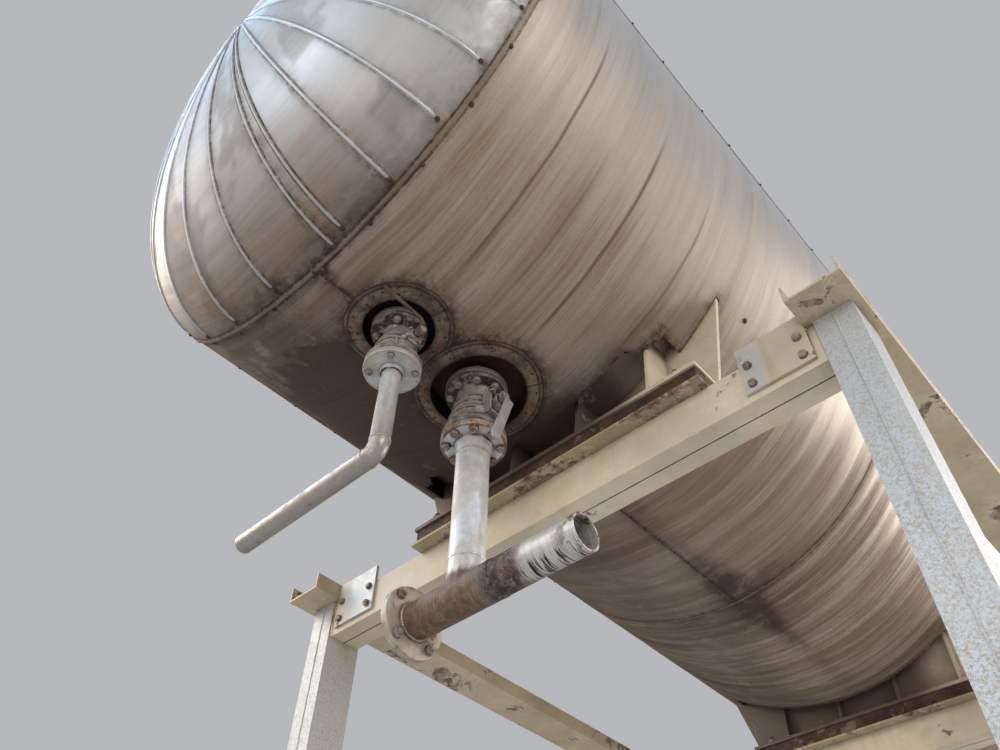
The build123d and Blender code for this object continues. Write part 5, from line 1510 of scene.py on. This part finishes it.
# world: plain pale to the camera; its light is brightest from the front and the +X side, weak behind
world = bpy.data.worlds.new("studio")
bpy.context.scene.world = world
world.use_nodes = True
wt = world.node_tree
wt.nodes.clear()
w_out = wt.nodes.new("ShaderNodeOutputWorld")
plain, soft, both = (wt.nodes.new(k) for k in ("ShaderNodeBackground", "ShaderNodeBackground", "ShaderNodeMixShader"))
seen = wt.nodes.new("ShaderNodeLightPath")
plain.inputs[0].default_value = (0.86, 0.87, 0.90, 1)
plain.inputs[1].default_value = 0.55
way = wt.nodes.new("ShaderNodeTexCoord")


def world_range(direction, a, b):
    dot = wt.nodes.new("ShaderNodeVectorMath")
    dot.operation = "DOT_PRODUCT"
    wt.links.new(way.outputs["Generated"], dot.inputs[0])
    dot.inputs[1].default_value = direction
    mr = wt.nodes.new("ShaderNodeMapRange")
    mr.interpolation_type = "SMOOTHSTEP"
    wt.links.new(dot.outputs["Value"], mr.inputs["Value"])
    mr.inputs["From Min"].default_value = a
    mr.inputs["From Max"].default_value = b
    return mr.outputs[0]


def world_mix(fac, a, b):
    n = wt.nodes.new("ShaderNodeMix")
    n.data_type = "RGBA"
    for socket, v in ((n.inputs[0], fac), (n.inputs[6], a), (n.inputs[7], b)):
        if isinstance(v, bpy.types.NodeSocket):
            wt.links.new(v, socket)
        else:
            socket.default_value = (*v, 1.0)
    return n.outputs[2]


side_tone = world_mix(world_range((0, 0, 1), 0.30, 0.75), (1.04, 0.93, 0.80), (0.64, 0.87, 1.18))
lit = world_mix(world_range((0.42, -0.74, 0.52), -0.55, 0.20), (0.125, 0.088, 0.060), side_tone)
wt.links.new(lit, soft.inputs[0])
soft.inputs[1].default_value = 0.70
wt.links.new(seen.outputs["Is Camera Ray"], both.inputs[0])
wt.links.new(soft.outputs[0], both.inputs[1])
wt.links.new(plain.outputs[0], both.inputs[2])
wt.links.new(both.outputs[0], w_out.inputs[0])


def area(name, place_at, aim, size, power, color=(1, 1, 1)):
    data = bpy.data.lights.new(name, "AREA")
    data.shape = "RECTANGLE"
    data.size, data.size_y = size
    data.energy = power
    data.color = color
    ob = bpy.data.objects.new(name, data)
    bpy.context.scene.collection.objects.link(ob)
    ob.visible_camera = False
    ob.location = place_at
    ob.rotation_euler = (Vector(aim) - Vector(place_at)).to_track_quat("-Z", "Y").to_euler()
    return ob


area("key_right", (5.4, 7.0, 7.2), (0.7, 0.3, 4.5), (5, 5), 390, (1.0, 0.97, 0.93))
area("fill_far", (4.6, 7.4, 3.4), (0.6, 1.2, 4.2), (4, 4), 430, (1.0, 0.94, 0.87))
area("yard_front", (1.8, -7.6, 1.7), (0.2, -2.5, 4.2), (4, 3), 110, (1.0, 0.93, 0.84))
area("fill_right", (8.0, -3.2, 5.2), (0.3, -1.4, 4.0), (4, 4), 220, (1.0, 0.95, 0.89))
area("sky_left", (-3.6, -3.8, 9.4), (-0.3, -2.8, 4.8), (4, 4), 290, (0.33, 0.62, 1.0))
area("wall_left", (-5.6, -5.0, 6.6), (-0.5, -2.6, 4.3), (4, 4), 280, (1.0, 0.86, 0.69))
area("sky_front", (-1.5, -9.5, 6.5), (0, -2.2, 4.2), (5, 4), 260, (0.72, 0.86, 1.0))

cam_data = bpy.data.cameras.new("camera")
cam = bpy.data.objects.new("camera", cam_data)
bpy.context.scene.collection.objects.link(cam)
fwd = Vector((-0.45924, 0.47478, 0.75079)).normalized()
right = Vector((0.73305, 0.67993, 0.01842))
right = (right - right.dot(fwd) * fwd).normalized()
down = fwd.cross(right)
if down.dot(Vector((-0.50174, 0.55883, -0.66029))) < 0:
    down = -down
rot = Matrix((right, -down, -fwd)).transposed().to_4x4()
rot.translation = Vector((1.4825, -3.0750, 1.5999))
cam.matrix_world = rot
cam_data.sensor_width = 36
cam_data.sensor_fit = "HORIZONTAL"
cam_data.lens = 29.56
cam_data.clip_start = 0.05
cam_data.clip_end = 200
bpy.context.scene.camera = cam
bpy.context.scene.view_settings.view_transform = "Standard"
